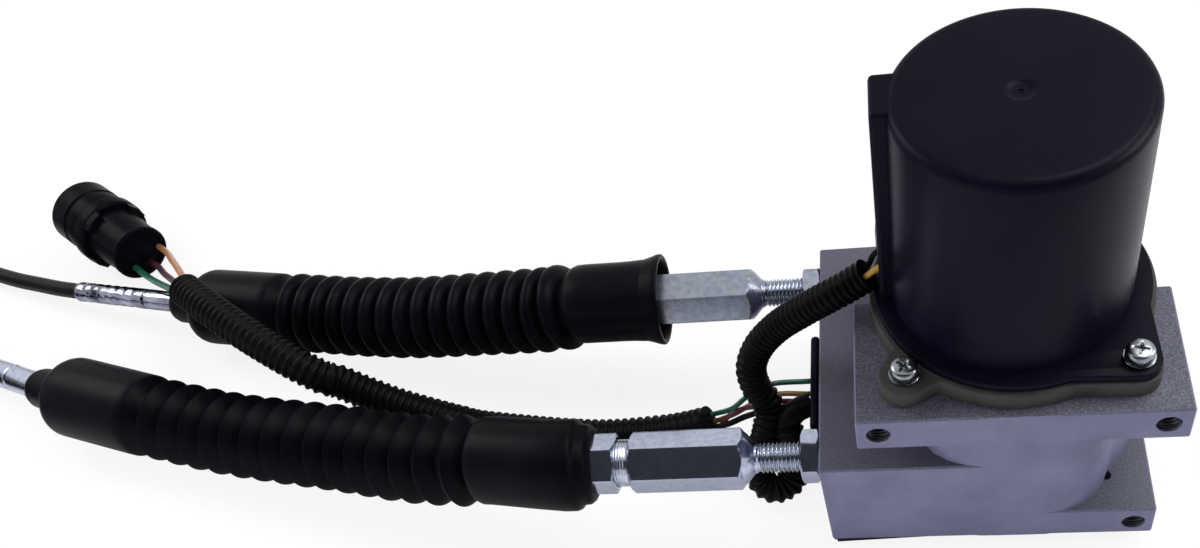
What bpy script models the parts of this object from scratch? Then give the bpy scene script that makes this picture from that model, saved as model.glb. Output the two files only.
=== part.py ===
"""Engine governor actuator: a geared motor on a cast housing that turns a cable drum, with two
push-pull cables, their rubber boots and the wiring harness.

Sizes are in millimetres in this file and become metres in the shape helpers. +Z is up along the
motor's axis, the cables leave towards -X, and the origin is under the motor on the bottom face.
"""
import math

import bmesh
import bpy
from mathutils import Vector

MM = 0.001
SEAT = 0.2           # gap between two pieces that rest on each other
STEPS = 36           # sides of a large round piece
FINE_STEPS = 16      # sides of a small round piece
EXTRA = 2.0          # how far a cutter runs past the wall it cuts

# Bottom cover and gasket, under the casting
COVER_THICK = 3.0
GASKET_THICK = 1.0
BASE_Z = COVER_THICK + GASKET_THICK + 2 * SEAT
COVER_INSET = 1.5
BASE_SCREW_R = 2.2
BASE_SCREW_HEAD_R = 4.2

# Housing, heights above the casting's bottom
BARREL_R = 47.5
FRONT_Y = 50.0
LOWER_PLATE_H = 15.5
BLOCK_H = 47.0
UPPER_PLATE_Z = 60.1
HOUSING_H = 75.5
BLOCK_LEFT_X = -67.1
BLOCK_BACK_Y = 54.0
BLOCK_DRAFT = 1.6
UPPER_PLATE_HALF = 53.0
LOWER_PLATE_RIGHT = 48.5
PLATE_BACK_Y = 1.2
EDGE_ROUND = 0.6
BOLT_HOLE_R = 4.1
BOLT_HOLE_DEPTH = 14.0
UPPER_BOLT_X = 45.6
UPPER_BOLT_H = 68.0
LOWER_BOLT_X = 41.5
LOWER_BOLT_H = 7.3
DOWEL_X, DOWEL_Y, DOWEL_R = 33.0, -35.2, 2.0

# Cable drum and the two cables
CABLE_Z = 42.6
DRUM_Y = 1.4
CABLE_REACH = 38.9   # from the drum's axis to each cable
CHAMBER_R = CABLE_REACH + 2.1
DRUM_R = CABLE_REACH + 1.4
DRUM_THICK = 9.0
GROOVE_W = 3.6
ROD_R = 1.2
GROOVE_CLEAR = 0.4
GROOVE_ROOT_R = CABLE_REACH - ROD_R - GROOVE_CLEAR
DRUM_HUB_R = 11.0
WINDOW_R = 8.0
WINDOW_PCD_R = 25.0

# Partition between the drum chamber and the gear chamber, above the casting's bottom
PARTITION_LOW = 48.5
PARTITION_HIGH = 53.0
BAY_H = HOUSING_H - PARTITION_HIGH
GEAR_BAY_R = 40.0
BUSH_R = 8.0
SHAFT_R = 5.0
RUN_CLEAR = 0.06
BEARING_PLATE_R = 44.0
BEARING_PLATE_T = 4.0
BEARING_PLATE_Z = BASE_Z + 10.0

SENSOR_R = 12.0
SENSOR_H = 9.0
SENSOR_FLOOR = 3.0
SENSOR_BORE_R = 3.1

# Gears
MODULE = 0.8
PINION_TEETH = 12
WHEEL_TEETH = 40
BACKLASH = 0.10
GEAR_T = BAY_H * 0.267
GEAR_RISE = BAY_H * 0.044
GEAR_STEP = BAY_H * 0.356
OUTPUT_GEAR_Z = BASE_Z + PARTITION_HIGH + GEAR_RISE
COUNTER_WHEEL_Z = OUTPUT_GEAR_Z + GEAR_STEP
CENTRES = MODULE * (PINION_TEETH + WHEEL_TEETH) / 2
COUNTER_Y = DRUM_Y / 2
COUNTER_X = math.sqrt(CENTRES ** 2 - COUNTER_Y ** 2)
AXLE_R = 2.5

# Motor cover
COVER_TOP_R = 38.8
COVER_DRAFT = 0.5
COVER_R = COVER_TOP_R + COVER_DRAFT
COVER_WALL = 2.2
COVER_TOP = 170.4
COVER_ROUND = 4.0
FLANGE_R = COVER_R + 6.1
FLANGE_T = 3.0
FLANGE_EAR_R = 7.3
RIB_OUT = 4.4
RIB_LOW_Y, RIB_HIGH_Y = -5.3, 13.5
GATE_R = 4.3
GATE_DEPTH = 0.8
EAR_OFFSET = (COVER_R + 12.04) / math.sqrt(2)
SCREW_R = 2.4
SCREW_HEAD_R = 4.4
SCREW_HEAD_H = 3.2
WASHER_R = 5.8
WASHER_T = 1.0
SCREW_LEN = 14.0

# Motor and its adaptor
ADAPTOR_T = 6.7
HOUSING_TOP = BASE_Z + HOUSING_H
ADAPTOR_Z = HOUSING_TOP + SEAT
FLANGE_Z = ADAPTOR_Z + ADAPTOR_T + SEAT
ADAPTOR_R = 47.0
ADAPTOR_WAIST = 22.0
ADAPTOR_EAR_R = 8.6
PILOT_DEPTH = 2.5
MOTOR_SHAFT_R = 2.5
CAN_R = COVER_TOP_R - COVER_WALL - 5.6
CAN_WALL = 1.8
CAN_LOW = FLANGE_Z
CAN_HEADROOM = 17.4    # from the can's top to the cover's top
CAN_H = COVER_TOP - CAN_HEADROOM - CAN_LOW
MAGNET_T = 4.0
MAGNET_LOW = 20.0     # above the can's foot
MAGNET_BELOW_TOP = 10.0
ARMATURE_R = CAN_R - CAN_WALL - MAGNET_T - 2.7
ARMATURE_BELOW_TOP = 11.0
COMMUTATOR_R = 9.0

# Cable adjusters, distances out from the housing's left face
THREAD_R = 5.5
THREAD_IN = 15.0
LOCK_NUT_AF = 17.0
LOCK_NUT_T = 6.5
CONE_START = 24.5
HEX_START = 30.0
HEX_END = 71.0
HEX_AF = 19.8
NECK_R = 8.7
BOOT_NUT_START = 77.0
BOOT_NUT_T = 7.6
SPIGOT_START = BOOT_NUT_START + BOOT_NUT_T + 2 * SEAT
SPIGOT_END = SPIGOT_START + 8.0
SPIGOT_R = 11.2
ADJUSTER_BORE_R = 2.6
THREAD_FIT = 0.2
FRONT_HEX_TURN = math.radians(52)
REAR_HEX_TURN = math.radians(18.9)
TIE_BACK = 14.0      # from the drum's tangent point to a rod's inner end

# Boots
BOOT_CREST_R = 17.2
BOOT_ROOT_R = 13.8
BOOT_MOUTH_R = 12.0
BOOT_BORE_R = 11.0
BOOT_NIPPLE_R = 9.3
BOOT_SIDES = 16
LIP_LEN = 3.5
NEAR_SLEEVE_R = {"front": 16.8, "rear": 16.0}
FAR_SLEEVE_R = {"front": 18.0, "rear": 17.2}
BOOT_LIP_R = {"front": 17.1, "rear": 18.2}
BOOT_FOLDS = {"front": 15, "rear": 16}
FOLDS_FROM_X = {"front": -201.0, "rear": -172.0}
FOLDS_TO_X = {"front": -361.0, "rear": -313.0}
FAR_SLEEVE_TO_X = {"front": -412.0, "rear": -358.0}
FERRULE_R = {"front": 6.2, "rear": 4.8}
FERRULE_GROOVE_AT = 14.0
FERRULE_LEN = 58.5
FERRULE_IN = 6.0      # how far a ferrule goes into its boot's nipple
CONDUIT_R = 3.8

# Coils that put the rest of each cable away
COIL_R = 40.0
COIL_TURNS = 4
COIL_PITCH = 7.8
COIL_WALL = CONDUIT_R + 0.3
COIL_H = 2 * CONDUIT_R + COIL_TURNS * COIL_PITCH + 0.3
END_SLEEVE_R = 4.5
SLEEVE_AT = (6.4, COIL_R - 2.4)    # the sleeve's start, from the coil's centre
END_SLEEVE_LEN = 42.0
END_ROD_R = 2.0
END_ROD_LEN = 30.0
END_EYE_R = 5.0

# Side plate where the wires enter the block
SIDE_PLATE_T = 3.4
SIDE_PLATE_Y = (-28.0, 14.0)
SIDE_PLATE_Z = (12.0, 47.5)

# Connector
BARREL_OUT_R = 16.5
BARREL_LEN = 27.0
BODY_R = 13.6
SOCKET_R = 14.4
COLLAR_R = 17.3
COLLAR_LEN = 12.0

# Harness
LOOM_R = 7.4
LOOP_R = 5.9
WIRE_R = 0.9

FRONT_CABLE_Y = DRUM_Y - CABLE_REACH
REAR_CABLE_Y = DRUM_Y + CABLE_REACH

FRONT_BOOT = [
    (-152.5, -37.5, 42.6), (-158, -37.5, 42.6), (-163.5, -37.5, 42.6), (-168, -36.9, 42.3),
    (-173.5, -34.9, 41.3), (-184.2, -32.5, 39.5), (-197.0, -30.5, 37.3), (-210.2, -28.4, 35.0), (-231.1, -23.5, 31.0),
    (-260.4, -14.8, 26.0), (-295.5, -6.0, 21.5), (-321.4, 0.6, 19.2), (-353.2, 9.6, 18.4),
    (-377.6, 16.9, 18.3), (-394.3, 22.1, 18.3), (-414.3, 28.6, 17.6), (-429.4, 35.4, 14.8),
]
REAR_BOOT = [
    (-130, 40.3, 42.6), (-141, 40.3, 42.6), (-152, 40.3, 42.6), (-162, 40.3, 42.6),
    (-169.5, 41.2, 40.9), (-179.2, 42.4, 38.0), (-207.7, 47.3, 32.0), (-227.2, 50.2, 28.5),
    (-246.4, 53.5, 25.0), (-273.4, 59.4, 21.0), (-297.2, 64.6, 18.8), (-320.9, 69.2, 17.8),
    (-344.6, 73.0, 17.5), (-352.7, 74.5, 17.5), (-361.2, 76.5, 17.2), (-375.4, 80.8, 15.0),
]
FRONT_HEADING = (-25.1, 11.2, -4.0)
REAR_HEADING = (-59.5, 15.5, -5.0)
FRONT_CONDUIT = [
    (-482.6, 59.2, 6.4), (-493, 63.2, 4.9), (-504, 66.0, 4.0), (-515, 67.2, 3.9), (-526, 67.2, 3.9),
]
REAR_CONDUIT = [
    (-432.2, 95.6, 10.2), (-445.6, 99.6, 8.9), (-459.7, 104.6, 7.4), (-474.1, 109.7, 6.0),
    (-488.6, 115.5, 4.9), (-503, 121.3, 4.1), (-517.5, 127.1, 3.9), (-532, 132.9, 3.9),
    (-546, 138.5, 3.9), (-560, 144.1, 3.9),
]
FRONT_COIL = (-532.0, 19.35)
REAR_COIL = (-577.95, 99.45)
MAIN_LOOM = [
    (-350.7, 64.5, 43), (-329.9, 47.9, 45), (-308.3, 32.9, 43.5), (-287.6, 21.9, 37.5),
    (-276.6, 18.5, 31), (-271.2, 18.8, 27), (-260.4, 17.4, 19.5), (-248.4, 15.1, 13.5),
    (-235.1, 12.2, 9.8), (-221.6, 8.5, 8.2), (-208, 5, 7.8), (-163.4, -1.4, 7.8),
    (-134.5, -2.3, 10), (-121.7, -2.8, 13), (-113.5, -3.1, 16),
]
LOOP_LOOM = [
    (-47.2, -0.4, 96.0), (-50.8, -0.6, 93.4), (-55.7, -0.9, 90.0), (-61.4, -0.8, 86.0),
    (-71.6, 0.7, 77.0), (-80.8, 2.9, 67.0), (-88.7, 2.5, 57.0), (-92.7, -0.2, 48.0),
    (-91.8, -3.3, 40.0), (-87.9, -6.8, 33.0), (-88.5, -12.4, 27.0), (-91.2, -17.0, 19.0),
    (-93.2, -22.0, 12.0), (-92.2, -25.9, 8.0), (-87.7, -28.2, 6.6), (-82.1, -26.6, 7.8),
    (-79.1, -23.1, 12.0), (-78.5, -19.2, 18.0), (-79.9, -16.3, 24.0), (-81.1, -13.4, 28.0),
]
CONNECTOR_REAR = (-400.7, 111.4, 17.6)
CONNECTOR_FRONT = (-444.6, 143.7, 18.0)
PLUG_WIRES = {
    "plug_wire_orange": [(-394.4, 119.5, 14.1), (-387.2, 114.2, 14.0), (-371.7, 93.6, 29.7), (-356.2, 73.0, 45.3), (-349.1, 67.4, 46.0)],
    "plug_wire_dark": [(-399.6, 112.4, 9.9), (-392.4, 107.1, 9.9), (-375.6, 88.3, 26.4), (-358.7, 69.5, 42.8), (-351.7, 63.9, 43.5)],
    "plug_wire_green": [(-404.1, 106.4, 12.7), (-396.8, 101.1, 12.6), (-378.8, 83.9, 26.8), (-360.8, 66.7, 40.9), (-353.8, 61.1, 41.6)],
}
SIDE_WIRES = {
    "side_wire_green": [
        (-112.9, 1.4, 16.1), (-110.1, 1.3, 17.1), (-103.2, -1.8, 24.0), (-97.8, 0.8, 27.0),
        (-91.8, 3.9, 29.0), (-85.0, 4.4, 31.0),
        (-74.0, 0.8, 36.0), (-71.0, 0.8, 36.0),
    ],
    "side_wire_ochre": [
        (-112.1, 0.0, 13.5), (-109.2, -0.1, 14.6), (-102.6, -1.4, 20.0), (-96.5, 1.0, 22.0),
        (-89.1, 2.8, 25.0), (-82.2, 1.4, 28.0),
        (-74.0, -1.4, 31.0), (-71.0, -1.4, 31.0),
    ],
    "side_wire_maroon": [
        (-112.2, -3.5, 13.7), (-109.4, -3.6, 14.7), (-104.2, -3.4, 22.0), (-98.1, -1.8, 24.0),
        (-93.3, -2.0, 25.0), (-86.1, -1.7, 27.0), (-80.1, -2.3, 28.0),
        (-74.0, -3.5, 28.0), (-71.0, -3.5, 28.0),
    ],
}

FLUSH_CASTINGS = ("housing", "motor_adaptor", "motor_cover")
PARTS = None
CUTTERS = None
MATERIALS = {}


def clear_scene():
    """Remove what the scene holds and make the two collections."""
    global PARTS, CUTTERS
    for old in list(bpy.data.objects):
        bpy.data.objects.remove(old, do_unlink=True)
    PARTS = bpy.data.collections.new("governor_actuator")
    CUTTERS = bpy.data.collections.new("cutters")
    bpy.context.scene.collection.children.link(PARTS)
    bpy.context.scene.collection.children.link(CUTTERS)


def make_materials():
    """Colour, roughness and metallic value of each material."""
    table = {
        "cast_aluminium": ((0.36, 0.36, 0.42), 0.55, 0.6),
        "adaptor_grey": ((0.20, 0.20, 0.19), 0.6, 0.3),
        "black_plastic": ((0.012, 0.012, 0.016), 0.4, 0.0),
        "black_rubber": ((0.016, 0.016, 0.018), 0.6, 0.0),
        "zinc_steel": ((0.62, 0.64, 0.66), 0.28, 1.0),
        "plain_steel": ((0.45, 0.45, 0.46), 0.35, 1.0),
        "bronze": ((0.55, 0.36, 0.16), 0.4, 1.0),
        "copper": ((0.72, 0.33, 0.16), 0.35, 1.0),
        "ferrite": ((0.06, 0.06, 0.065), 0.7, 0.0),
        "gasket_black": ((0.02, 0.02, 0.02), 0.8, 0.0),
        "wire_orange": ((0.45, 0.16, 0.04), 0.45, 0.0),
        "wire_dark": ((0.10, 0.03, 0.03), 0.45, 0.0),
        "wire_green": ((0.05, 0.35, 0.14), 0.45, 0.0),
        "wire_yellow": ((0.50, 0.38, 0.05), 0.45, 0.0),
        "wire_maroon": ((0.25, 0.04, 0.03), 0.45, 0.0),
    }
    for name, (colour, roughness, metallic) in table.items():
        material = bpy.data.materials.new(name)
        material.use_nodes = True
        shader = material.node_tree.nodes["Principled BSDF"]
        shader.inputs["Base Color"].default_value = (*colour, 1.0)
        shader.inputs["Roughness"].default_value = roughness
        shader.inputs["Metallic"].default_value = metallic
        MATERIALS[name] = material


def add_object(name, data, material, cutter=False):
    """Link a new object for this mesh or curve, with its material."""
    obj = bpy.data.objects.new(name, data)
    if cutter:
        CUTTERS.objects.link(obj)
        obj.hide_render = True
        obj.display_type = "WIRE"
    else:
        PARTS.objects.link(obj)
        data.materials.append(MATERIALS[material])
    return obj


def smooth(mesh, angle=35):
    """Shade a mesh smooth with its sharp edges kept."""
    mesh.shade_smooth()
    mesh.set_sharp_from_angle(angle=math.radians(angle))


def to_mesh(obj):
    """Turn a curve object into a mesh object with welded caps, in the same place."""
    bpy.context.view_layer.update()
    graph = bpy.context.evaluated_depsgraph_get()
    mesh = bpy.data.meshes.new_from_object(obj.evaluated_get(graph))
    name, matrix, collection = obj.name, obj.matrix_world.copy(), obj.users_collection[0]
    hidden, display = obj.hide_render, obj.display_type
    bpy.data.objects.remove(obj, do_unlink=True)
    work = bmesh.new()
    work.from_mesh(mesh)
    bmesh.ops.remove_doubles(work, verts=work.verts, dist=1e-6)
    bmesh.ops.recalc_face_normals(work, faces=work.faces)
    work.to_mesh(mesh)
    work.free()
    smooth(mesh)
    solid = bpy.data.objects.new(name, mesh)
    collection.objects.link(solid)
    solid.matrix_world = matrix
    solid.hide_render = hidden
    solid.display_type = display
    return solid


def flat(name, outlines, low, high, material="plain_steel", cutter=False):
    """A plate between two heights, from closed outlines in X and Y; the later ones are holes."""
    curve = bpy.data.curves.new(name, "CURVE")
    curve.dimensions = "2D"
    curve.fill_mode = "BOTH"
    curve.extrude = (high - low) / 2 * MM
    for outline in outlines:
        spline = curve.splines.new("POLY")
        spline.points.add(len(outline) - 1)
        for point, (x, y) in zip(spline.points, outline):
            point.co = (x * MM, y * MM, 0, 1)
        spline.use_cyclic_u = True
    obj = add_object(name, curve, material, cutter)
    obj.location.z = (low + high) / 2 * MM
    return to_mesh(obj)


def turned(name, profile, centre=(0, 0, 0), axis=(0, 0, 1), steps=STEPS, material="plain_steel",
           cutter=False):
    """A turned piece: (radius, height) points run down its outer side from top to bottom."""
    mesh = bpy.data.meshes.new(name)
    points = [(radius * MM, 0, height * MM) for radius, height in profile]
    closed = profile[0][0] > 0 and profile[-1][0] > 0
    edges = [(i, i + 1) for i in range(len(points) - 1)]
    if closed:
        edges.append((len(points) - 1, 0))
    mesh.from_pydata(points, edges, [])
    obj = add_object(name, mesh, material, cutter)
    screw = obj.modifiers.new("turn", "SCREW")
    screw.steps = screw.render_steps = steps
    screw.use_merge_vertices = True
    screw.merge_threshold = 1e-6
    screw.use_smooth_shade = True
    obj.location = Vector(centre) * MM
    obj.rotation_mode = "QUATERNION"
    obj.rotation_quaternion = Vector((0, 0, 1)).rotation_difference(Vector(axis).normalized())
    return obj


def block(name, low, high, material="plain_steel", cutter=False):
    """A box between two corners."""
    mesh = bpy.data.meshes.new(name)
    work = bmesh.new()
    bmesh.ops.create_cube(work, size=1)
    size = [(b - a) * MM for a, b in zip(low, high)]
    middle = Vector([(a + b) / 2 * MM for a, b in zip(low, high)])
    bmesh.ops.scale(work, vec=size, verts=work.verts)
    bmesh.ops.translate(work, vec=middle, verts=work.verts)
    work.to_mesh(mesh)
    work.free()
    return add_object(name, mesh, material, cutter)


def cut(obj, cutter, operation="DIFFERENCE"):
    """Add a Boolean. A casting whose flush faces defeat the EXACT solver uses MANIFOLD."""
    boolean = obj.modifiers.new(cutter.name, "BOOLEAN")
    boolean.operation = operation
    boolean.object = cutter
    boolean.solver = "MANIFOLD" if obj.name in FLUSH_CASTINGS else "EXACT"


def drill(obj, name, centre, radius, length, axis=(0, 0, 1), steps=FINE_STEPS):
    """Cut a round hole whose axis starts at the centre and runs along the axis."""
    tool = turned(name, [(0, length), (radius, length), (radius, 0), (0, 0)], centre, axis, steps,
                  cutter=True)
    cut(obj, tool)


def circle(radius, steps=STEPS, centre=(0, 0), start=0.0):
    """Points round a circle."""
    turn = 2 * math.pi / steps
    return [(centre[0] + radius * math.cos(start + i * turn), centre[1] + radius * math.sin(start + i * turn))
            for i in range(steps)]


def ring_profile(outer, inner, high, low):
    """Profile of a plain ring."""
    return [(outer, high), (outer, low), (inner, low), (inner, high)]


def disc_profile(radius, high, low):
    """Profile of a plain disc."""
    return [(0, high), (radius, high), (radius, low), (0, low)]


def eared_outline(radius, waist, ear_radius, ears, steps=96):
    """A round outline with ears at the given angles, each joined by the tangents from a waist circle."""
    reach = EAR_OFFSET * math.sqrt(2)
    lean = math.acos((waist - ear_radius) / reach)
    meet = math.atan2(ear_radius * math.sin(lean), reach + ear_radius * math.cos(lean))
    points = []
    for i in range(steps):
        angle = 2 * math.pi * i / steps
        best = radius
        for ear in ears:
            off = abs((angle - math.radians(ear) + math.pi) % (2 * math.pi) - math.pi)
            if off < meet:
                best = max(best, reach * math.cos(off)
                           + math.sqrt(ear_radius ** 2 - (reach * math.sin(off)) ** 2))
            elif off < lean:
                best = max(best, waist / math.cos(lean - off))
        points.append((best * math.cos(angle), best * math.sin(angle)))
    return points


def gear_outline(teeth, turn=0.0, flank_points=1):
    """Involute gear outline with the module and backlash above."""
    pitch_r = MODULE * teeth / 2
    base_r = pitch_r * math.cos(math.radians(20))
    tip_r = pitch_r + 0.9 * MODULE
    root_r = pitch_r - 1.2 * MODULE

    def spread(radius):
        pressure = math.acos(min(1.0, base_r / radius))
        return math.tan(pressure) - pressure

    half = (math.pi * MODULE / 2 - BACKLASH) / (2 * pitch_r) + spread(pitch_r)
    low_r = max(base_r, root_r + 0.05)
    radii = [low_r + (tip_r - low_r) * i / flank_points for i in range(flank_points + 1)]
    points = []
    for tooth in range(teeth):
        middle = turn + 2 * math.pi * tooth / teeth
        side = [(radius, half - spread(radius)) for radius in radii]
        if root_r < base_r - BACKLASH:
            side.insert(0, (root_r, half))
        points += [(radius, middle - offset) for radius, offset in side]
        points += [(radius, middle + offset) for radius, offset in reversed(side)]
    return [(radius * math.cos(angle), radius * math.sin(angle)) for radius, angle in points]


def shift(outline, x, y):
    """Move an outline in X and Y."""
    return [(px + x, py + y) for px, py in outline]


def spline_points(route, spacing):
    """Points at an even spacing along a smooth curve through the route's own points."""
    route = [Vector(p) for p in route]
    ends = [2 * route[0] - route[1]] + route + [2 * route[-1] - route[-2]]
    dense = []
    for i in range(1, len(ends) - 2):
        before, start, stop, after = ends[i - 1], ends[i], ends[i + 1], ends[i + 2]
        for step in range(12):
            t = step / 12
            dense.append(0.5 * (2 * start + (stop - before) * t
                                + (2 * before - 5 * start + 4 * stop - after) * t ** 2
                                + (3 * start - before - 3 * stop + after) * t ** 3))
    dense.append(route[-1])
    lengths = [0.0]
    for first, second in zip(dense, dense[1:]):
        lengths.append(lengths[-1] + (second - first).length)
    count = max(2, round(lengths[-1] / spacing))
    points = []
    j = 0
    for i in range(count + 1):
        target = lengths[-1] * i / count
        while j < len(lengths) - 2 and lengths[j + 1] < target:
            j += 1
        span = lengths[j + 1] - lengths[j]
        points.append(dense[j].lerp(dense[j + 1], (target - lengths[j]) / span if span else 0))
    return points


def tube(name, route, radius, material, spacing=None, resolution=2):
    """A round tube with filled caps along a smooth route."""
    curve = bpy.data.curves.new(name, "CURVE")
    curve.dimensions = "3D"
    curve.bevel_depth = radius * MM
    curve.bevel_resolution = resolution
    curve.use_fill_caps = True
    points = spline_points(route, spacing or radius * 5)
    spline = curve.splines.new("POLY")
    spline.points.add(len(points) - 1)
    for target, point in zip(spline.points, points):
        target.co = (*(point * MM), 1)
    return to_mesh(add_object(name, curve, material))


def ring_body(name, rings, material, angle=35):
    """A closed body with a bore: each ring joins the next, and the last joins the first."""
    mesh = bpy.data.meshes.new(name)
    work = bmesh.new()
    rows = [[work.verts.new(point * MM) for point in ring] for ring in rings]
    sides = len(rows[0])
    for row, following in zip(rows, rows[1:] + rows[:1]):
        for i in range(sides):
            j = (i + 1) % sides
            work.faces.new((row[i], row[j], following[j], following[i]))
    bmesh.ops.recalc_face_normals(work, faces=work.faces)
    work.to_mesh(mesh)
    work.free()
    smooth(mesh, angle)
    return add_object(name, mesh, material)


def hex_radius(across_flats, angle, turn):
    """Distance from the axis to a hexagon's side in this direction."""
    sixth = math.pi / 3
    off = (angle - turn) % sixth
    off = min(off, sixth - off)
    return across_flats / 2 / math.cos(off)


def section_x(x, y, turn, radius=None, across_flats=None, sides=24):
    """A ring of points round a line along X: round, or hexagonal."""
    ring = []
    for i in range(sides):
        angle = turn + math.pi / 6 + 2 * math.pi * i / sides
        r = hex_radius(across_flats, angle, turn) if across_flats else radius
        ring.append(Vector((x, y - r * math.cos(angle), CABLE_Z + r * math.sin(angle))))
    return ring


def barrel_outline(steps=56):
    """The barrel's outline: a circle that runs into the flat front face."""
    points = []
    for i in range(steps):
        angle = 2 * math.pi * i / steps
        off = abs((angle - 1.5 * math.pi + math.pi) % (2 * math.pi) - math.pi)
        blend = min(max((off - math.radians(10)) / math.radians(38), 0.0), 1.0)
        blend = blend * blend * (3 - 2 * blend)
        face = FRONT_Y / max(math.cos(min(off, 1.2)), 0.3)
        radius = face * (1 - blend) + BARREL_R * blend
        points.append((radius * math.cos(angle), radius * math.sin(angle)))
    return points


def housing():
    """The die-cast housing: barrel, left block, two front plates, chambers and holes."""
    body = flat("housing", [barrel_outline()], BASE_Z, HOUSING_TOP, "cast_aluminium")
    left = block("left_block", (BLOCK_LEFT_X, -FRONT_Y, BASE_Z), (0, BLOCK_BACK_Y, BASE_Z + BLOCK_H),
                 cutter=True)
    for vertex in left.data.vertices:
        if vertex.co.x < -0.01 and vertex.co.z < (BASE_Z + 1) * MM:
            vertex.co.x += BLOCK_DRAFT * MM
    upper = block("upper_plate", (-UPPER_PLATE_HALF, -FRONT_Y, BASE_Z + UPPER_PLATE_Z),
                  (UPPER_PLATE_HALF, PLATE_BACK_Y, HOUSING_TOP), cutter=True)
    lower = block("lower_plate", (0, -FRONT_Y, BASE_Z),
                  (LOWER_PLATE_RIGHT, PLATE_BACK_Y, BASE_Z + LOWER_PLATE_H), cutter=True)
    ears = flat("rear_ears", [eared_outline(BARREL_R - 1, ADAPTOR_WAIST, ADAPTOR_EAR_R, (45, 135))],
                BASE_Z + UPPER_PLATE_Z, HOUSING_TOP, cutter=True)
    cut(body, ears, "UNION")
    for piece in (left, upper, lower):
        rounding = piece.modifiers.new("edges", "BEVEL")
        rounding.width = EDGE_ROUND * MM
        rounding.segments = 1
        cut(body, piece, "UNION")
    chamber_top = BASE_Z + PARTITION_LOW
    drill(body, "chamber", (0, DRUM_Y, BASE_Z - EXTRA), CHAMBER_R, chamber_top - BASE_Z + EXTRA, steps=STEPS)
    drill(body, "bearing_recess", (0, DRUM_Y, BASE_Z - EXTRA), BEARING_PLATE_R + SEAT,
          BEARING_PLATE_Z + BEARING_PLATE_T - BASE_Z + EXTRA + SEAT, steps=STEPS)
    drill(body, "gear_bay", (0, 0, BASE_Z + PARTITION_HIGH), GEAR_BAY_R, HOUSING_H, steps=STEPS)
    drill(body, "bush_seat", (0, DRUM_Y, chamber_top - EXTRA), BUSH_R + SEAT, HOUSING_H, steps=FINE_STEPS)
    drill(body, "axle_seat", (COUNTER_X, COUNTER_Y, BASE_Z + PARTITION_HIGH - 3), AXLE_R + SEAT, 10)
    for name, y in (("front", FRONT_CABLE_Y), ("rear", REAR_CABLE_Y)):
        drill(body, f"{name}_cable_hole", (BLOCK_LEFT_X - EXTRA, y, CABLE_Z), THREAD_R + THREAD_FIT,
              -BLOCK_LEFT_X + EXTRA - 8, (1, 0, 0))
    for x, height in ((-UPPER_BOLT_X, UPPER_BOLT_H), (UPPER_BOLT_X, UPPER_BOLT_H), (LOWER_BOLT_X, LOWER_BOLT_H)):
        drill(body, f"bolt_hole_{x:.0f}", (x, -FRONT_Y - EXTRA, BASE_Z + height), BOLT_HOLE_R,
              BOLT_HOLE_DEPTH + EXTRA, (0, 1, 0))
    drill(body, "dowel_hole", (DOWEL_X, DOWEL_Y, BASE_Z + LOWER_PLATE_H - 8), DOWEL_R, 10)
    for x, y in screw_places():
        drill(body, f"tapping_{x:.0f}_{y:.0f}", (x, y, HOUSING_TOP - SCREW_LEN + 2), SCREW_R + SEAT, SCREW_LEN, steps=12)
    for i, (x, y) in enumerate(base_screw_places()):
        drill(body, f"base_tapping_{i}", (x, y, BASE_Z - EXTRA), BASE_SCREW_R + SEAT, 8 + EXTRA, steps=12)
    drill(body, "wire_way", (BLOCK_LEFT_X - EXTRA, -6, BASE_Z + 25), 6, 30, (1, 0, 0))


def screw_places():
    """The four corners where the adaptor and the cover are fastened."""
    return [(x * EAR_OFFSET, y * EAR_OFFSET) for x in (-1, 1) for y in (-1, 1)]


def base_screw_places():
    """The bottom cover's screws."""
    return [(BLOCK_LEFT_X + 8, -FRONT_Y + 8), (BLOCK_LEFT_X + 8, BLOCK_BACK_Y - 8)]


def base_outline(inset):
    """Outline of the bottom cover: the left block's rectangle with a round right end."""
    radius = BARREL_R - inset
    points = [(BLOCK_LEFT_X + BLOCK_DRAFT + inset, BLOCK_BACK_Y - inset),
              (BLOCK_LEFT_X + BLOCK_DRAFT + inset, -FRONT_Y + inset)]
    points += [(radius * math.cos(a), radius * math.sin(a))
               for a in (math.radians(-90 + 180 * i / 24) for i in range(25))]
    points.append((0, BLOCK_BACK_Y - inset))
    return points


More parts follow.
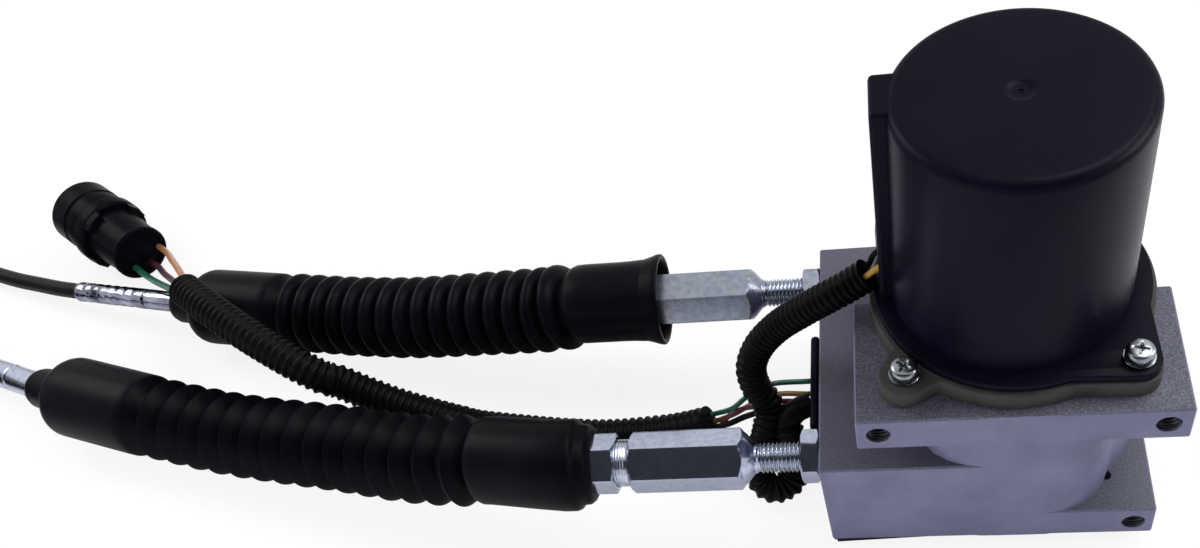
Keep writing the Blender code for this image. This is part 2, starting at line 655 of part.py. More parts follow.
def base():
    """Bottom cover, its gasket and its countersunk screws."""
    holes = base_screw_places()
    gasket_low = COVER_THICK + SEAT
    inner = circle(CHAMBER_R - 6, centre=(0, DRUM_Y))
    gasket_holes = [circle(BASE_SCREW_R + SEAT, 12, place) for place in holes]
    flat("bottom_gasket", [base_outline(0.6), inner] + gasket_holes, gasket_low, gasket_low + GASKET_THICK,
         "gasket_black")
    cover = flat("bottom_cover", [base_outline(COVER_INSET)], 0, COVER_THICK, "black_plastic")
    sink = BASE_SCREW_HEAD_R - BASE_SCREW_R
    for i, (x, y) in enumerate(holes):
        tool = turned(f"countersink_{i}", [(0, COVER_THICK + EXTRA), (BASE_SCREW_R + SEAT, COVER_THICK + EXTRA),
                                           (BASE_SCREW_R + SEAT, sink), (BASE_SCREW_HEAD_R + SEAT, 0),
                                           (BASE_SCREW_HEAD_R + SEAT, -EXTRA), (0, -EXTRA)],
                      (x, y, 0), steps=16, cutter=True)
        cut(cover, tool)
        turned(f"base_screw_{i + 1}", [(0, BASE_Z + 6), (BASE_SCREW_R, BASE_Z + 6), (BASE_SCREW_R, sink),
                                       (BASE_SCREW_HEAD_R, 0), (0, 0)],
               (x, y, 0), steps=16, material="zinc_steel")
    sensor_low = COVER_THICK + SEAT
    sensor = turned("angle_sensor", disc_profile(SENSOR_R, sensor_low + SENSOR_H, sensor_low),
                    (0, DRUM_Y, 0), steps=24, material="black_plastic")
    drill(sensor, "sensor_bore", (0, DRUM_Y, sensor_low + SENSOR_FLOOR), SENSOR_BORE_R, SENSOR_H)


def drum_and_shaft():
    """Bearing plate, bushes, output shaft, cable drum and output gear."""
    turned("bearing_plate", ring_profile(BEARING_PLATE_R, BUSH_R + SEAT, BEARING_PLATE_Z + BEARING_PLATE_T, BEARING_PLATE_Z),
           (0, DRUM_Y, 0), material="plain_steel")
    turned("lower_bush", ring_profile(BUSH_R, SHAFT_R + RUN_CLEAR, BEARING_PLATE_Z + BEARING_PLATE_T, BEARING_PLATE_Z - 1),
           (0, DRUM_Y, 0), steps=24, material="bronze")
    partition = BASE_Z + PARTITION_LOW
    turned("upper_bush", ring_profile(BUSH_R, SHAFT_R + RUN_CLEAR, BASE_Z + PARTITION_HIGH, partition),
           (0, DRUM_Y, 0), steps=24, material="bronze")
    gear_top = OUTPUT_GEAR_Z + GEAR_T
    spigot_r = SENSOR_BORE_R - RUN_CLEAR
    spigot_low = COVER_THICK + SEAT + SENSOR_FLOOR + 0.5
    turned("output_shaft", [(0, gear_top + 1), (SHAFT_R, gear_top + 1), (SHAFT_R, BEARING_PLATE_Z - 1.5),
                            (spigot_r, BEARING_PLATE_Z - 1.5), (spigot_r, spigot_low), (0, spigot_low)],
           (0, DRUM_Y, 0), steps=24, material="plain_steel")
    middle, half, lip = CABLE_Z, DRUM_THICK / 2, GROOVE_W / 2
    hub_low = BEARING_PLATE_Z + BEARING_PLATE_T + 0.5
    drum = turned("cable_drum", [
        (SHAFT_R + SEAT, middle + half), (DRUM_R, middle + half), (DRUM_R, middle + lip),
        (GROOVE_ROOT_R, middle + lip), (GROOVE_ROOT_R, middle - lip), (DRUM_R, middle - lip),
        (DRUM_R, middle - half), (DRUM_HUB_R, middle - half), (DRUM_HUB_R, hub_low), (SHAFT_R + SEAT, hub_low)],
        (0, DRUM_Y, 0), material="cast_aluminium")
    for i in range(5):
        angle = math.radians(36 + 72 * i)
        drill(drum, f"drum_window_{i}", (WINDOW_PCD_R * math.cos(angle), DRUM_Y + WINDOW_PCD_R * math.sin(angle),
                                         middle - half - EXTRA), WINDOW_R, DRUM_THICK + 2 * EXTRA, steps=12)
    wheel = shift(gear_outline(WHEEL_TEETH, WHEEL_TURN), 0, DRUM_Y)
    flat("output_gear", [wheel, circle(SHAFT_R + SEAT, 24, (0, DRUM_Y))], OUTPUT_GEAR_Z, gear_top, "plain_steel")


TO_COUNTER = math.atan2(COUNTER_Y - DRUM_Y, COUNTER_X)
FROM_MOTOR = math.atan2(COUNTER_Y, COUNTER_X)
HALF_PINION_TOOTH = math.pi / PINION_TEETH
WHEEL_TURN = TO_COUNTER                              # a tooth of the output gear points at the counter shaft
COUNTER_PINION_TURN = TO_COUNTER + math.pi + HALF_PINION_TOOTH
COUNTER_WHEEL_TURN = FROM_MOTOR + math.pi            # a tooth of the counter wheel points at the motor
MOTOR_PINION_TURN = FROM_MOTOR + HALF_PINION_TOOTH


def counter_shaft():
    """The fixed axle and the two-step gear that turns on it."""
    low, top = OUTPUT_GEAR_Z, COUNTER_WHEEL_Z + GEAR_T
    turned("counter_axle", disc_profile(AXLE_R, ADAPTOR_Z - 0.3, BASE_Z + PARTITION_HIGH - 2.8),
           (COUNTER_X, COUNTER_Y, 0), steps=FINE_STEPS, material="plain_steel")
    pinion = shift(gear_outline(PINION_TEETH, COUNTER_PINION_TURN), COUNTER_X, COUNTER_Y)
    wheel = shift(gear_outline(WHEEL_TEETH, COUNTER_WHEEL_TURN), COUNTER_X, COUNTER_Y)
    bore = AXLE_R + RUN_CLEAR
    gear = flat("counter_gear", [wheel], COUNTER_WHEEL_Z, top, "plain_steel")
    step = flat("counter_step", [pinion], low, COUNTER_WHEEL_Z + 1, cutter=True)
    cut(gear, step, "UNION")
    drill(gear, "counter_bore", (COUNTER_X, COUNTER_Y, low - EXTRA), bore, top - low + 2 * EXTRA, steps=24)


def motor():
    """Adaptor, motor shaft and pinion, can, magnets, armature, commutator, brushes and bearing."""
    ears = (45, 135, 225, 315)
    adaptor = flat("motor_adaptor", [eared_outline(ADAPTOR_R, ADAPTOR_WAIST, ADAPTOR_EAR_R, ears)],
                   ADAPTOR_Z, ADAPTOR_Z + ADAPTOR_T, "adaptor_grey")
    pilot = turned("pilot", disc_profile(GEAR_BAY_R - SEAT, ADAPTOR_Z + 1, ADAPTOR_Z - PILOT_DEPTH), cutter=True)
    cut(adaptor, pilot, "UNION")
    drill(adaptor, "shaft_way", (0, 0, ADAPTOR_Z - 10), MOTOR_SHAFT_R + RUN_CLEAR, 30, steps=24)
    drill(adaptor, "axle_blind", (COUNTER_X, COUNTER_Y, ADAPTOR_Z - 10), AXLE_R + SEAT, 12)
    for x, y in screw_places():
        drill(adaptor, f"adaptor_hole_{x:.0f}_{y:.0f}", (x, y, ADAPTOR_Z - 1), SCREW_R + SEAT, ADAPTOR_T + EXTRA, steps=16)
    can_low, can_top = CAN_LOW, CAN_LOW + CAN_H
    turned("motor_can", [(0, can_top), (CAN_R - 2, can_top), (CAN_R, can_top - 2), (CAN_R, can_low),
                         (CAN_R - CAN_WALL, can_low), (CAN_R - CAN_WALL, can_top - CAN_WALL), (0, can_top - CAN_WALL)],
           material="plain_steel")
    magnet_r = CAN_R - CAN_WALL - SEAT
    turned("magnet_ring", ring_profile(magnet_r, magnet_r - MAGNET_T, can_top - MAGNET_BELOW_TOP, can_low + MAGNET_LOW),
           material="ferrite")
    turned("motor_bearing", ring_profile(7, MOTOR_SHAFT_R + RUN_CLEAR, can_top - CAN_WALL - SEAT, can_top - 7),
           steps=24, material="bronze")
    shaft_top = can_top - CAN_WALL - 1
    pinion_low = COUNTER_WHEEL_Z - 0.5
    turned("motor_shaft", disc_profile(MOTOR_SHAFT_R, shaft_top, pinion_low), steps=FINE_STEPS, material="plain_steel")
    flat("motor_pinion", [gear_outline(PINION_TEETH, MOTOR_PINION_TURN), circle(MOTOR_SHAFT_R + SEAT / 2, 20)],
         COUNTER_WHEEL_Z, COUNTER_WHEEL_Z + GEAR_T + GEAR_RISE, "plain_steel")
    bore = MOTOR_SHAFT_R + SEAT / 2
    slots = []
    for i in range(72):
        angle = 2 * math.pi * i / 72
        radius = ARMATURE_R if i % 6 else ARMATURE_R - 5
        slots.append((radius * math.cos(angle), radius * math.sin(angle)))
    flat("armature", [slots, circle(bore, 20)], can_low + MAGNET_LOW + 1, can_top - ARMATURE_BELOW_TOP, "copper")
    turned("commutator", ring_profile(COMMUTATOR_R, bore, can_low + MAGNET_LOW, can_low + 6), steps=24, material="copper")
    turned("brush_holder", ring_profile(magnet_r, COMMUTATOR_R + 0.8, can_low + 9, can_low + 0.2),
           steps=32, material="black_plastic")


def motor_cover():
    """The moulded cover with its flange, side rib and gate mark, and the four screws."""
    top, low = COVER_TOP, FLANGE_Z
    inner = COVER_TOP_R - COVER_WALL
    cover = turned("motor_cover", [
        (0, top), (COVER_TOP_R - COVER_ROUND, top), (COVER_TOP_R - COVER_ROUND * 0.5, top - COVER_ROUND * 0.14),
        (COVER_TOP_R - COVER_ROUND * 0.14, top - COVER_ROUND * 0.5), (COVER_TOP_R, top - COVER_ROUND),
        (COVER_R, low), (0, low)], steps=48, material="black_plastic")
    flange = flat("cover_flange", [eared_outline(FLANGE_R, FLANGE_R - 3, FLANGE_EAR_R, (135, 315))],
                  low, low + FLANGE_T, cutter=True)
    rib = block("cover_rib", (-COVER_TOP_R - RIB_OUT, RIB_LOW_Y, low), (-COVER_TOP_R + 8, RIB_HIGH_Y, top - 0.3), cutter=True)
    cut(cover, flange, "UNION")
    cut(cover, rib, "UNION")
    hollow = turned("cover_hollow", [(0, top - COVER_WALL), (inner, top - COVER_WALL), (inner, low - EXTRA), (0, low - EXTRA)],
                    cutter=True)
    cut(cover, hollow)
    way = block("wire_outlet", (-COVER_TOP_R - RIB_OUT - 1, 1, low + 6), (-COVER_TOP_R + 6, 9, low + 11), cutter=True)
    cut(cover, way)
    drill(cover, "gate_mark", (0, 0, top - GATE_DEPTH), GATE_R, 5)
    names = {(-1, -1): "adaptor_screw_front", (-1, 1): "cover_screw_rear",
             (1, -1): "cover_screw_front", (1, 1): "adaptor_screw_rear"}
    for (sx, sy), name in names.items():
        x, y = sx * EAR_OFFSET, sy * EAR_OFFSET
        on_cover = name.startswith("cover")
        if on_cover:
            drill(cover, f"ear_hole_{name}", (x, y, low - EXTRA), SCREW_R + SEAT, FLANGE_T + 2 * EXTRA, steps=16)
        seat = (low + FLANGE_T if on_cover else ADAPTOR_Z + ADAPTOR_T) + SEAT
        head_low = seat + 2 * WASHER_T
        turned(name, [(0, head_low + SCREW_HEAD_H), (SCREW_HEAD_R * 0.55, head_low + SCREW_HEAD_H),
                      (SCREW_HEAD_R * 0.9, head_low + SCREW_HEAD_H * 0.7), (SCREW_HEAD_R, head_low + 0.6),
                      (SCREW_HEAD_R, head_low), (SCREW_HEAD_R, seat + WASHER_T), (WASHER_R, seat + WASHER_T),
                      (WASHER_R, seat), (SCREW_R, seat), (SCREW_R, HOUSING_TOP - SCREW_LEN + 3), (0, HOUSING_TOP - SCREW_LEN + 3)],
               (x, y, 0), steps=FINE_STEPS, material="zinc_steel")


def cable_end(name, cable_y, turn):
    """Lock nut, adjuster, boot nut and sliding rod of one cable."""
    face = BLOCK_LEFT_X

    def ring(out, radius=None, across_flats=None):
        return section_x(face - out, cable_y, turn, radius, across_flats)

    nut_low, nut_high = SEAT, SEAT + LOCK_NUT_T
    hole = THREAD_R + THREAD_FIT
    ring_body(f"lock_nut_{name}", [
        ring(nut_low, LOCK_NUT_AF / 2), ring(nut_low + 0.9, across_flats=LOCK_NUT_AF),
        ring(nut_high - 0.9, across_flats=LOCK_NUT_AF), ring(nut_high, LOCK_NUT_AF / 2),
        ring(nut_high, hole), ring(nut_low, hole)], "zinc_steel")
    ring_body(f"adjuster_{name}", [
        ring(-THREAD_IN, THREAD_R), ring(CONE_START, THREAD_R), ring(HEX_START, HEX_AF / 2 - 0.3),
        ring(HEX_START + 0.8, across_flats=HEX_AF), ring(HEX_END - 0.8, across_flats=HEX_AF),
        ring(HEX_END, HEX_AF / 2 - 0.3), ring(HEX_END, NECK_R), ring(SPIGOT_START, NECK_R),
        ring(SPIGOT_START, SPIGOT_R), ring(SPIGOT_END, SPIGOT_R), ring(SPIGOT_END, ADJUSTER_BORE_R),
        ring(-THREAD_IN, ADJUSTER_BORE_R)], "zinc_steel")
    ring_body(f"boot_nut_{name}", [
        ring(BOOT_NUT_START, HEX_AF / 2), ring(BOOT_NUT_START + 0.9, across_flats=HEX_AF),
        ring(BOOT_NUT_START + BOOT_NUT_T - 0.9, across_flats=HEX_AF), ring(BOOT_NUT_START + BOOT_NUT_T, HEX_AF / 2),
        ring(BOOT_NUT_START + BOOT_NUT_T, NECK_R + SEAT), ring(BOOT_NUT_START, NECK_R + SEAT)], "zinc_steel")
    rod_end = -face + SPIGOT_END - 4
    turned(f"pull_rod_{name}", disc_profile(ROD_R, rod_end, TIE_BACK), (0, cable_y, CABLE_Z), (-1, 0, 0),
           steps=12, material="plain_steel")


def boot(name, route, sleeve_start):
    """A bellows boot: sleeve, folds, narrow sleeve and nipple along its route, with a bore."""
    points = spline_points(route, 1.0)
    length = len(points) - 1

    def at_x(x):
        return next(i for i, point in enumerate(points) if point.x < x)

    near_r, far_r, lip_r = NEAR_SLEEVE_R[name], FAR_SLEEVE_R[name], BOOT_LIP_R[name]
    fold_start, fold_end, far_end = at_x(FOLDS_FROM_X[name]), at_x(FOLDS_TO_X[name]), at_x(FAR_SLEEVE_TO_X[name])
    fold = (fold_end - fold_start) / BOOT_FOLDS[name]
    outer = [(0, lip_r), (LIP_LEN, lip_r), (LIP_LEN + 1.5, near_r), (fold_start - 2, near_r)]
    for i in range(BOOT_FOLDS[name]):
        outer.append((fold_start + i * fold, BOOT_ROOT_R))
        outer.append((fold_start + (i + 0.5) * fold, BOOT_CREST_R))
    outer += [(fold_end, BOOT_ROOT_R), (fold_end + 2, far_r), (far_end - 5, far_r), (far_end, far_r - 4),
              (far_end + 1, BOOT_NIPPLE_R), (length, BOOT_NIPPLE_R)]
    nipple_bore = FERRULE_R[name] + 0.4
    inner = [(length, nipple_bore), (far_end - 2, nipple_bore), (far_end - 8, BOOT_BORE_R)]
    inner += [(fold_end - i * (fold_end - fold_start) / 5, BOOT_BORE_R) for i in range(6)]
    inner += [(sleeve_start + 4, BOOT_BORE_R + 0.5), (sleeve_start, BOOT_MOUTH_R), (0, BOOT_MOUTH_R)]
    rings = []
    for at, radius in outer + inner:
        at = min(max(at, 0), length)
        i = min(int(at), length - 1)
        centre = points[i].lerp(points[i + 1], at - i)
        ahead = (points[min(i + 3, length)] - points[max(i - 2, 0)]).normalized()
        side = ahead.cross(Vector((0, 0, 1))).normalized()
        above = side.cross(ahead)
        rings.append([centre + radius * (math.cos(a) * side + math.sin(a) * above)
                      for a in (2 * math.pi * k / BOOT_SIDES for k in range(BOOT_SIDES))])
    ring_body(f"boot_{name}", rings, "black_rubber", 70)


def straight(name, start, stop, profile, material, steps=FINE_STEPS, cutter=False):
    """A turned piece between two points; the profile's heights run from the stop back to the start."""
    start, stop = Vector(start), Vector(stop)
    return turned(name, profile, start, stop - start, steps, material, cutter)


def cable(name, boot_end, heading, conduit, coil):
    """Ferrule, conduit, coil and end fitting of one cable."""
    along = Vector(heading).normalized()
    start = Vector(boot_end) - along * FERRULE_IN
    end = Vector(boot_end) + along * FERRULE_LEN
    full = FERRULE_LEN + FERRULE_IN
    groove = FERRULE_IN + FERRULE_GROOVE_AT
    ferrule_r = FERRULE_R[name]
    groove_r = ferrule_r - 0.8
    straight(f"ferrule_{name}", start, end, [
        (0, full), (ferrule_r * 0.9, full), (ferrule_r, full - 1.5), (ferrule_r, groove + 2.5),
        (groove_r, groove + 1.5), (groove_r, groove - 1.5), (ferrule_r, groove - 2.5), (ferrule_r, 0.5),
        (ferrule_r - 0.5, 0), (0, 0)], "zinc_steel")
    tube(f"conduit_{name}", conduit, CONDUIT_R, "black_rubber", 7.5, 2)
    turned(f"conduit_coil_{name}", ring_profile(COIL_R + COIL_WALL, COIL_R - COIL_WALL, COIL_H, 0),
           (*coil, 0), steps=32, material="black_rubber")
    height = COIL_H + SEAT + END_EYE_R
    begin = Vector((coil[0] + SLEEVE_AT[0], coil[1] + SLEEVE_AT[1], height))
    along = Vector((-1, 0, 0))
    sleeve_end = begin + along * END_SLEEVE_LEN
    straight(f"end_sleeve_{name}", begin, sleeve_end, [
        (0, END_SLEEVE_LEN), (END_SLEEVE_R - 0.5, END_SLEEVE_LEN), (END_SLEEVE_R, END_SLEEVE_LEN - 1), (END_SLEEVE_R, 0.5),
        (END_SLEEVE_R - 0.5, 0), (0, 0)], "zinc_steel")
    rod_start = sleeve_end + along * SEAT
    straight(f"end_rod_{name}", rod_start, rod_start + along, [
        (0, END_ROD_LEN), (END_EYE_R * 0.6, END_ROD_LEN), (END_EYE_R, END_ROD_LEN - 2), (END_EYE_R, END_ROD_LEN - 8),
        (END_EYE_R * 0.6, END_ROD_LEN - 10), (END_ROD_R, END_ROD_LEN - 10.5), (END_ROD_R, 0), (0, 0)], "plain_steel")


def harness():
    """Looms, connector, side plate and the short wires between them."""
    tube("main_loom", MAIN_LOOM, LOOM_R, "black_plastic", 12, 3)
    tube("loop_loom", LOOP_LOOM, LOOP_R, "black_plastic", 8, 3)
    rear, front = Vector(CONNECTOR_REAR), Vector(CONNECTOR_FRONT)
    length = (front - rear).length
    barrel_low = length - BARREL_LEN
    shell = straight("connector_shell", rear, front, [
        (0, length), (BARREL_OUT_R, length), (BARREL_OUT_R, barrel_low), (BODY_R, barrel_low - 2),
        (BODY_R, 12), (BODY_R - 0.5, 10), (BODY_R - 1.1, 1), (BODY_R - 2.1, 0), (0, 0)],
        "black_plastic", 28)
    socket_low = barrel_low + 2
    socket = straight("connector_socket", rear, front, disc_profile(SOCKET_R, length + EXTRA, socket_low), None, 28,
                      cutter=True)
    cut(shell, socket)
    straight("connector_insert", rear, front, disc_profile(SOCKET_R - SEAT, length - 1, socket_low + SEAT),
             "black_plastic", 24)
    straight("connector_collar", rear, front,
             ring_profile(COLLAR_R, BODY_R + SEAT, barrel_low - 3, barrel_low - 3 - COLLAR_LEN), "black_plastic", 28)
    low = (BLOCK_LEFT_X - SEAT - SIDE_PLATE_T, SIDE_PLATE_Y[0], SIDE_PLATE_Z[0])
    high = (BLOCK_LEFT_X - SEAT, SIDE_PLATE_Y[1], SIDE_PLATE_Z[1])
    plate = block("side_plate", low, high, "black_plastic")
    rounding = plate.modifiers.new("edges", "BEVEL")
    rounding.width = 1.2 * MM
    rounding.segments = 2
    for name, route in PLUG_WIRES.items():
        tube(name, route, WIRE_R, name.replace("plug_", ""), 5)
    for name, route in SIDE_WIRES.items():
        colour = {"side_wire_green": "wire_green", "side_wire_ochre": "wire_yellow", "side_wire_maroon": "wire_maroon"}
        tube(name, route, WIRE_R, colour[name], 5)


def main():
    clear_scene()
    make_materials()
    housing()
    base()
    drum_and_shaft()
    counter_shaft()
    motor()
    motor_cover()
    cable_end("front", FRONT_CABLE_Y, FRONT_HEX_TURN)
    cable_end("rear", REAR_CABLE_Y, REAR_HEX_TURN)
    boot("front", FRONT_BOOT, SPIGOT_END - SPIGOT_START + 3)
    boot("rear", REAR_BOOT, REAR_BOOT[0][0] - BLOCK_LEFT_X + SPIGOT_END + 3)
    cable("front", FRONT_BOOT[-1], FRONT_HEADING, FRONT_CONDUIT, FRONT_COIL)
    cable("rear", REAR_BOOT[-1], REAR_HEADING, REAR_CONDUIT, REAR_COIL)
    harness()


main()
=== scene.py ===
"""Studio scene of an engine governor actuator: a geared motor on a cast housing, two push-pull
cables with adjusters and bellows boots, and its wiring harness.

Sizes are in millimetres here and become metres when a form turns into an object. +Z is up along the
motor's axis, and the cables leave towards -X.
"""

import logging
import math
from dataclasses import dataclass
from enum import Enum
from typing import Callable, Sequence

import bmesh
import bpy
from mathutils import Matrix, Vector

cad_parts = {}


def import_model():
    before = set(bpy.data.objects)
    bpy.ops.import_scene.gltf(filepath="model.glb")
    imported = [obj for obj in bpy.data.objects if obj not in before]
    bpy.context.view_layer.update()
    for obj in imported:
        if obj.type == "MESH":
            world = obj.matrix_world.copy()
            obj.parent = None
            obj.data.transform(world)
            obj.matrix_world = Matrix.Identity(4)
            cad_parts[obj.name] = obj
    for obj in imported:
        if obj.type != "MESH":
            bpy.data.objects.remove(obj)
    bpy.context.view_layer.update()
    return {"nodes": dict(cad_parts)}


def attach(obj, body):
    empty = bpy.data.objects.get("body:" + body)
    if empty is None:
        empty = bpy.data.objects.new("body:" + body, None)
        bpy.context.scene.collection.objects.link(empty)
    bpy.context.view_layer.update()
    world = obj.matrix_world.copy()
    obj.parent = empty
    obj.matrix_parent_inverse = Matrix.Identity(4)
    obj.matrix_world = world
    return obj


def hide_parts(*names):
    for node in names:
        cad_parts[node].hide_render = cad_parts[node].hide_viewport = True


LOG = logging.getLogger("governor_actuator")
MM = 0.001
UP = Vector((0, 0, 1))
Knot = tuple[float, float, float]
Colour = tuple[float, float, float]
Station = tuple[float, float]

# Places that several pieces share, in the part's own frame
CABLE_Z = 42.6
FRONT_CABLE_Y = -37.5
REAR_CABLE_Y = 40.3
BLOCK_LEFT_X = -67.1
ADAPTOR_Z = 80.1
ADAPTOR_T = 6.7
FLANGE_Z = 87.0
FLANGE_T = 3.0
COVER_TOP = 170.4
EAR_OFFSET = 36.3
ADAPTOR_EARS = (45, 225)
COVER_EARS = (135, 315)
SCREW_HOLE_R = 2.8


class Pattern(Enum):
    """How a finish varies over its surface."""

    GRAIN = "grain"
    BLASTED = "blasted"
    TURNED = "turned"
    CRINKLED = "crinkled"


@dataclass(frozen=True)
class Finish:
    """One surface finish, with its colours, gloss and grain. Scales are per metre, heights in mm."""

    name: str
    slot: str
    dark: Colour
    light: Colour
    roughness: float
    metallic: float = 0.0
    spread: float = 0.08
    blotch: float = 45.0
    grain: float = 2200.0
    height: float = 0.02
    specular: float = 0.5
    edge: float = 0.0
    pattern: Pattern = Pattern.GRAIN


CASTING = Finish("die_cast_housing", "cast_aluminium", (0.105, 0.105, 0.180), (0.140, 0.140, 0.228), 0.55,
                 metallic=0.15, blotch=70.0, grain=1300.0, height=0.05, specular=0.25, edge=0.2,
                 pattern=Pattern.BLASTED)
# Bore threads: the casting's own metal coloured darker, as painted shade inside the tapped holes.
BORE_PAINTED_SHADE = Finish("tapped_bore", "cast_aluminium", (0.035, 0.035, 0.045), (0.07, 0.07, 0.09), 0.4,
                    metallic=0.5, blotch=400.0, grain=2500.0, height=0.01, specular=0.2)
ADAPTOR_METAL = Finish("adaptor_casting", "adaptor_grey", (0.023, 0.023, 0.022), (0.041, 0.041, 0.038), 0.65,
                       metallic=0.1, blotch=60.0, grain=1600.0, height=0.03, specular=0.25, edge=0.3)
MOULDED_BLACK = Finish("moulded_black", "black_plastic", (0.0022, 0.0022, 0.0062), (0.0036, 0.0036, 0.0092),
                       0.34, blotch=35.0, grain=2600.0, height=0.006, specular=0.038)
RUBBER_BLACK = Finish("boot_rubber", "black_rubber", (0.0013, 0.0012, 0.0024), (0.0024, 0.0022, 0.0040), 0.40,
                      blotch=55.0, grain=1900.0, height=0.012, specular=0.04)
LOOM_BLACK = Finish("loom_polymer", "black_plastic", (0.0018, 0.0018, 0.0022), (0.0034, 0.0034, 0.0040), 0.38,
                    blotch=90.0, grain=3000.0, height=0.006, specular=0.05)
CONDUIT_BLACK = Finish("conduit_jacket", "black_rubber", (0.004, 0.004, 0.005), (0.007, 0.007, 0.008), 0.38,
                       blotch=60.0, grain=2400.0, height=0.006, specular=0.06)
BRIGHT_ZINC = Finish("bright_zinc", "zinc_steel", (0.36, 0.39, 0.50), (0.47, 0.50, 0.62), 0.2,
                     metallic=1.0, spread=0.05, blotch=420.0, grain=2400.0, height=0.004)
# A darker, rougher copy of bright_zinc for the rear adjuster and its nuts: the same plating, its darker
# colour painted shade.
ZINC_PAINTED_SHADE = Finish("dull_zinc", "zinc_steel", (0.20, 0.215, 0.265), (0.29, 0.31, 0.37), 0.3,
                   metallic=1.0, spread=0.06, blotch=420.0, grain=2400.0, height=0.004)
SCREW_ZINC = Finish("screw_zinc", "zinc_steel", (0.16, 0.17, 0.19), (0.34, 0.36, 0.40), 0.24,
                    metallic=1.0, spread=0.06, blotch=500.0, grain=2400.0, height=0.004)
PLUG_BLACK = Finish("plug_polymer", "black_plastic", (0.0014, 0.0014, 0.0026), (0.0026, 0.0026, 0.0044), 0.32,
                    blotch=80.0, grain=2600.0, height=0.005, specular=0.02)
THREAD_ZINC = Finish("thread_zinc", "zinc_steel", (0.30, 0.33, 0.40), (0.48, 0.51, 0.60), 0.22,
                     metallic=1.0, spread=0.06, blotch=500.0, grain=2500.0, height=0.003)
# Crinkled ferrule: its colour follows the crinkle bump, dark in the hollows and light on the crests, as
# painted shade and painted highlight.
CRIMPED_ZINC_PAINTED_SHADE = Finish("crimped_zinc", "zinc_steel", (0.035, 0.037, 0.055), (0.36, 0.37, 0.47), 0.12,
                      metallic=1.0, spread=0.06, blotch=90.0, grain=130.0, height=0.3,
                      pattern=Pattern.CRINKLED)
GROUND_STEEL = Finish("ground_steel", "plain_steel", (0.34, 0.34, 0.35), (0.50, 0.50, 0.51), 0.34,
                      metallic=1.0, pattern=Pattern.TURNED)
BRONZE = Finish("sintered_bronze", "bronze", (0.42, 0.25, 0.10), (0.58, 0.38, 0.18), 0.42, metallic=1.0)
COPPER = Finish("wound_copper", "copper", (0.55, 0.22, 0.10), (0.78, 0.38, 0.20), 0.36, metallic=1.0)
FERRITE = Finish("sintered_ferrite", "ferrite", (0.045, 0.045, 0.05), (0.08, 0.08, 0.085), 0.7)
GASKET = Finish("gasket_sheet", "gasket_black", (0.006, 0.006, 0.006), (0.014, 0.014, 0.014), 0.8,
                height=0.04, specular=0.15)
WIRE_ORANGE = Finish("wire_orange", "wire_orange", (0.26, 0.10, 0.045), (0.38, 0.17, 0.085), 0.35,
                     height=0.004, specular=0.3)
WIRE_DARK = Finish("wire_dark", "wire_dark", (0.030, 0.007, 0.012), (0.055, 0.013, 0.020), 0.35,
                   height=0.004, specular=0.3)
WIRE_GREEN = Finish("wire_green", "wire_green", (0.006, 0.060, 0.032), (0.010, 0.105, 0.055), 0.32,
                    height=0.004, specular=0.3)
WIRE_YELLOW = Finish("wire_yellow", "wire_yellow", (0.20, 0.105, 0.014), (0.32, 0.18, 0.03), 0.35,
                     height=0.004, specular=0.3)
WIRE_MAROON = Finish("wire_maroon", "wire_maroon", (0.060, 0.009, 0.014), (0.105, 0.018, 0.022), 0.35,
                     height=0.004, specular=0.3)


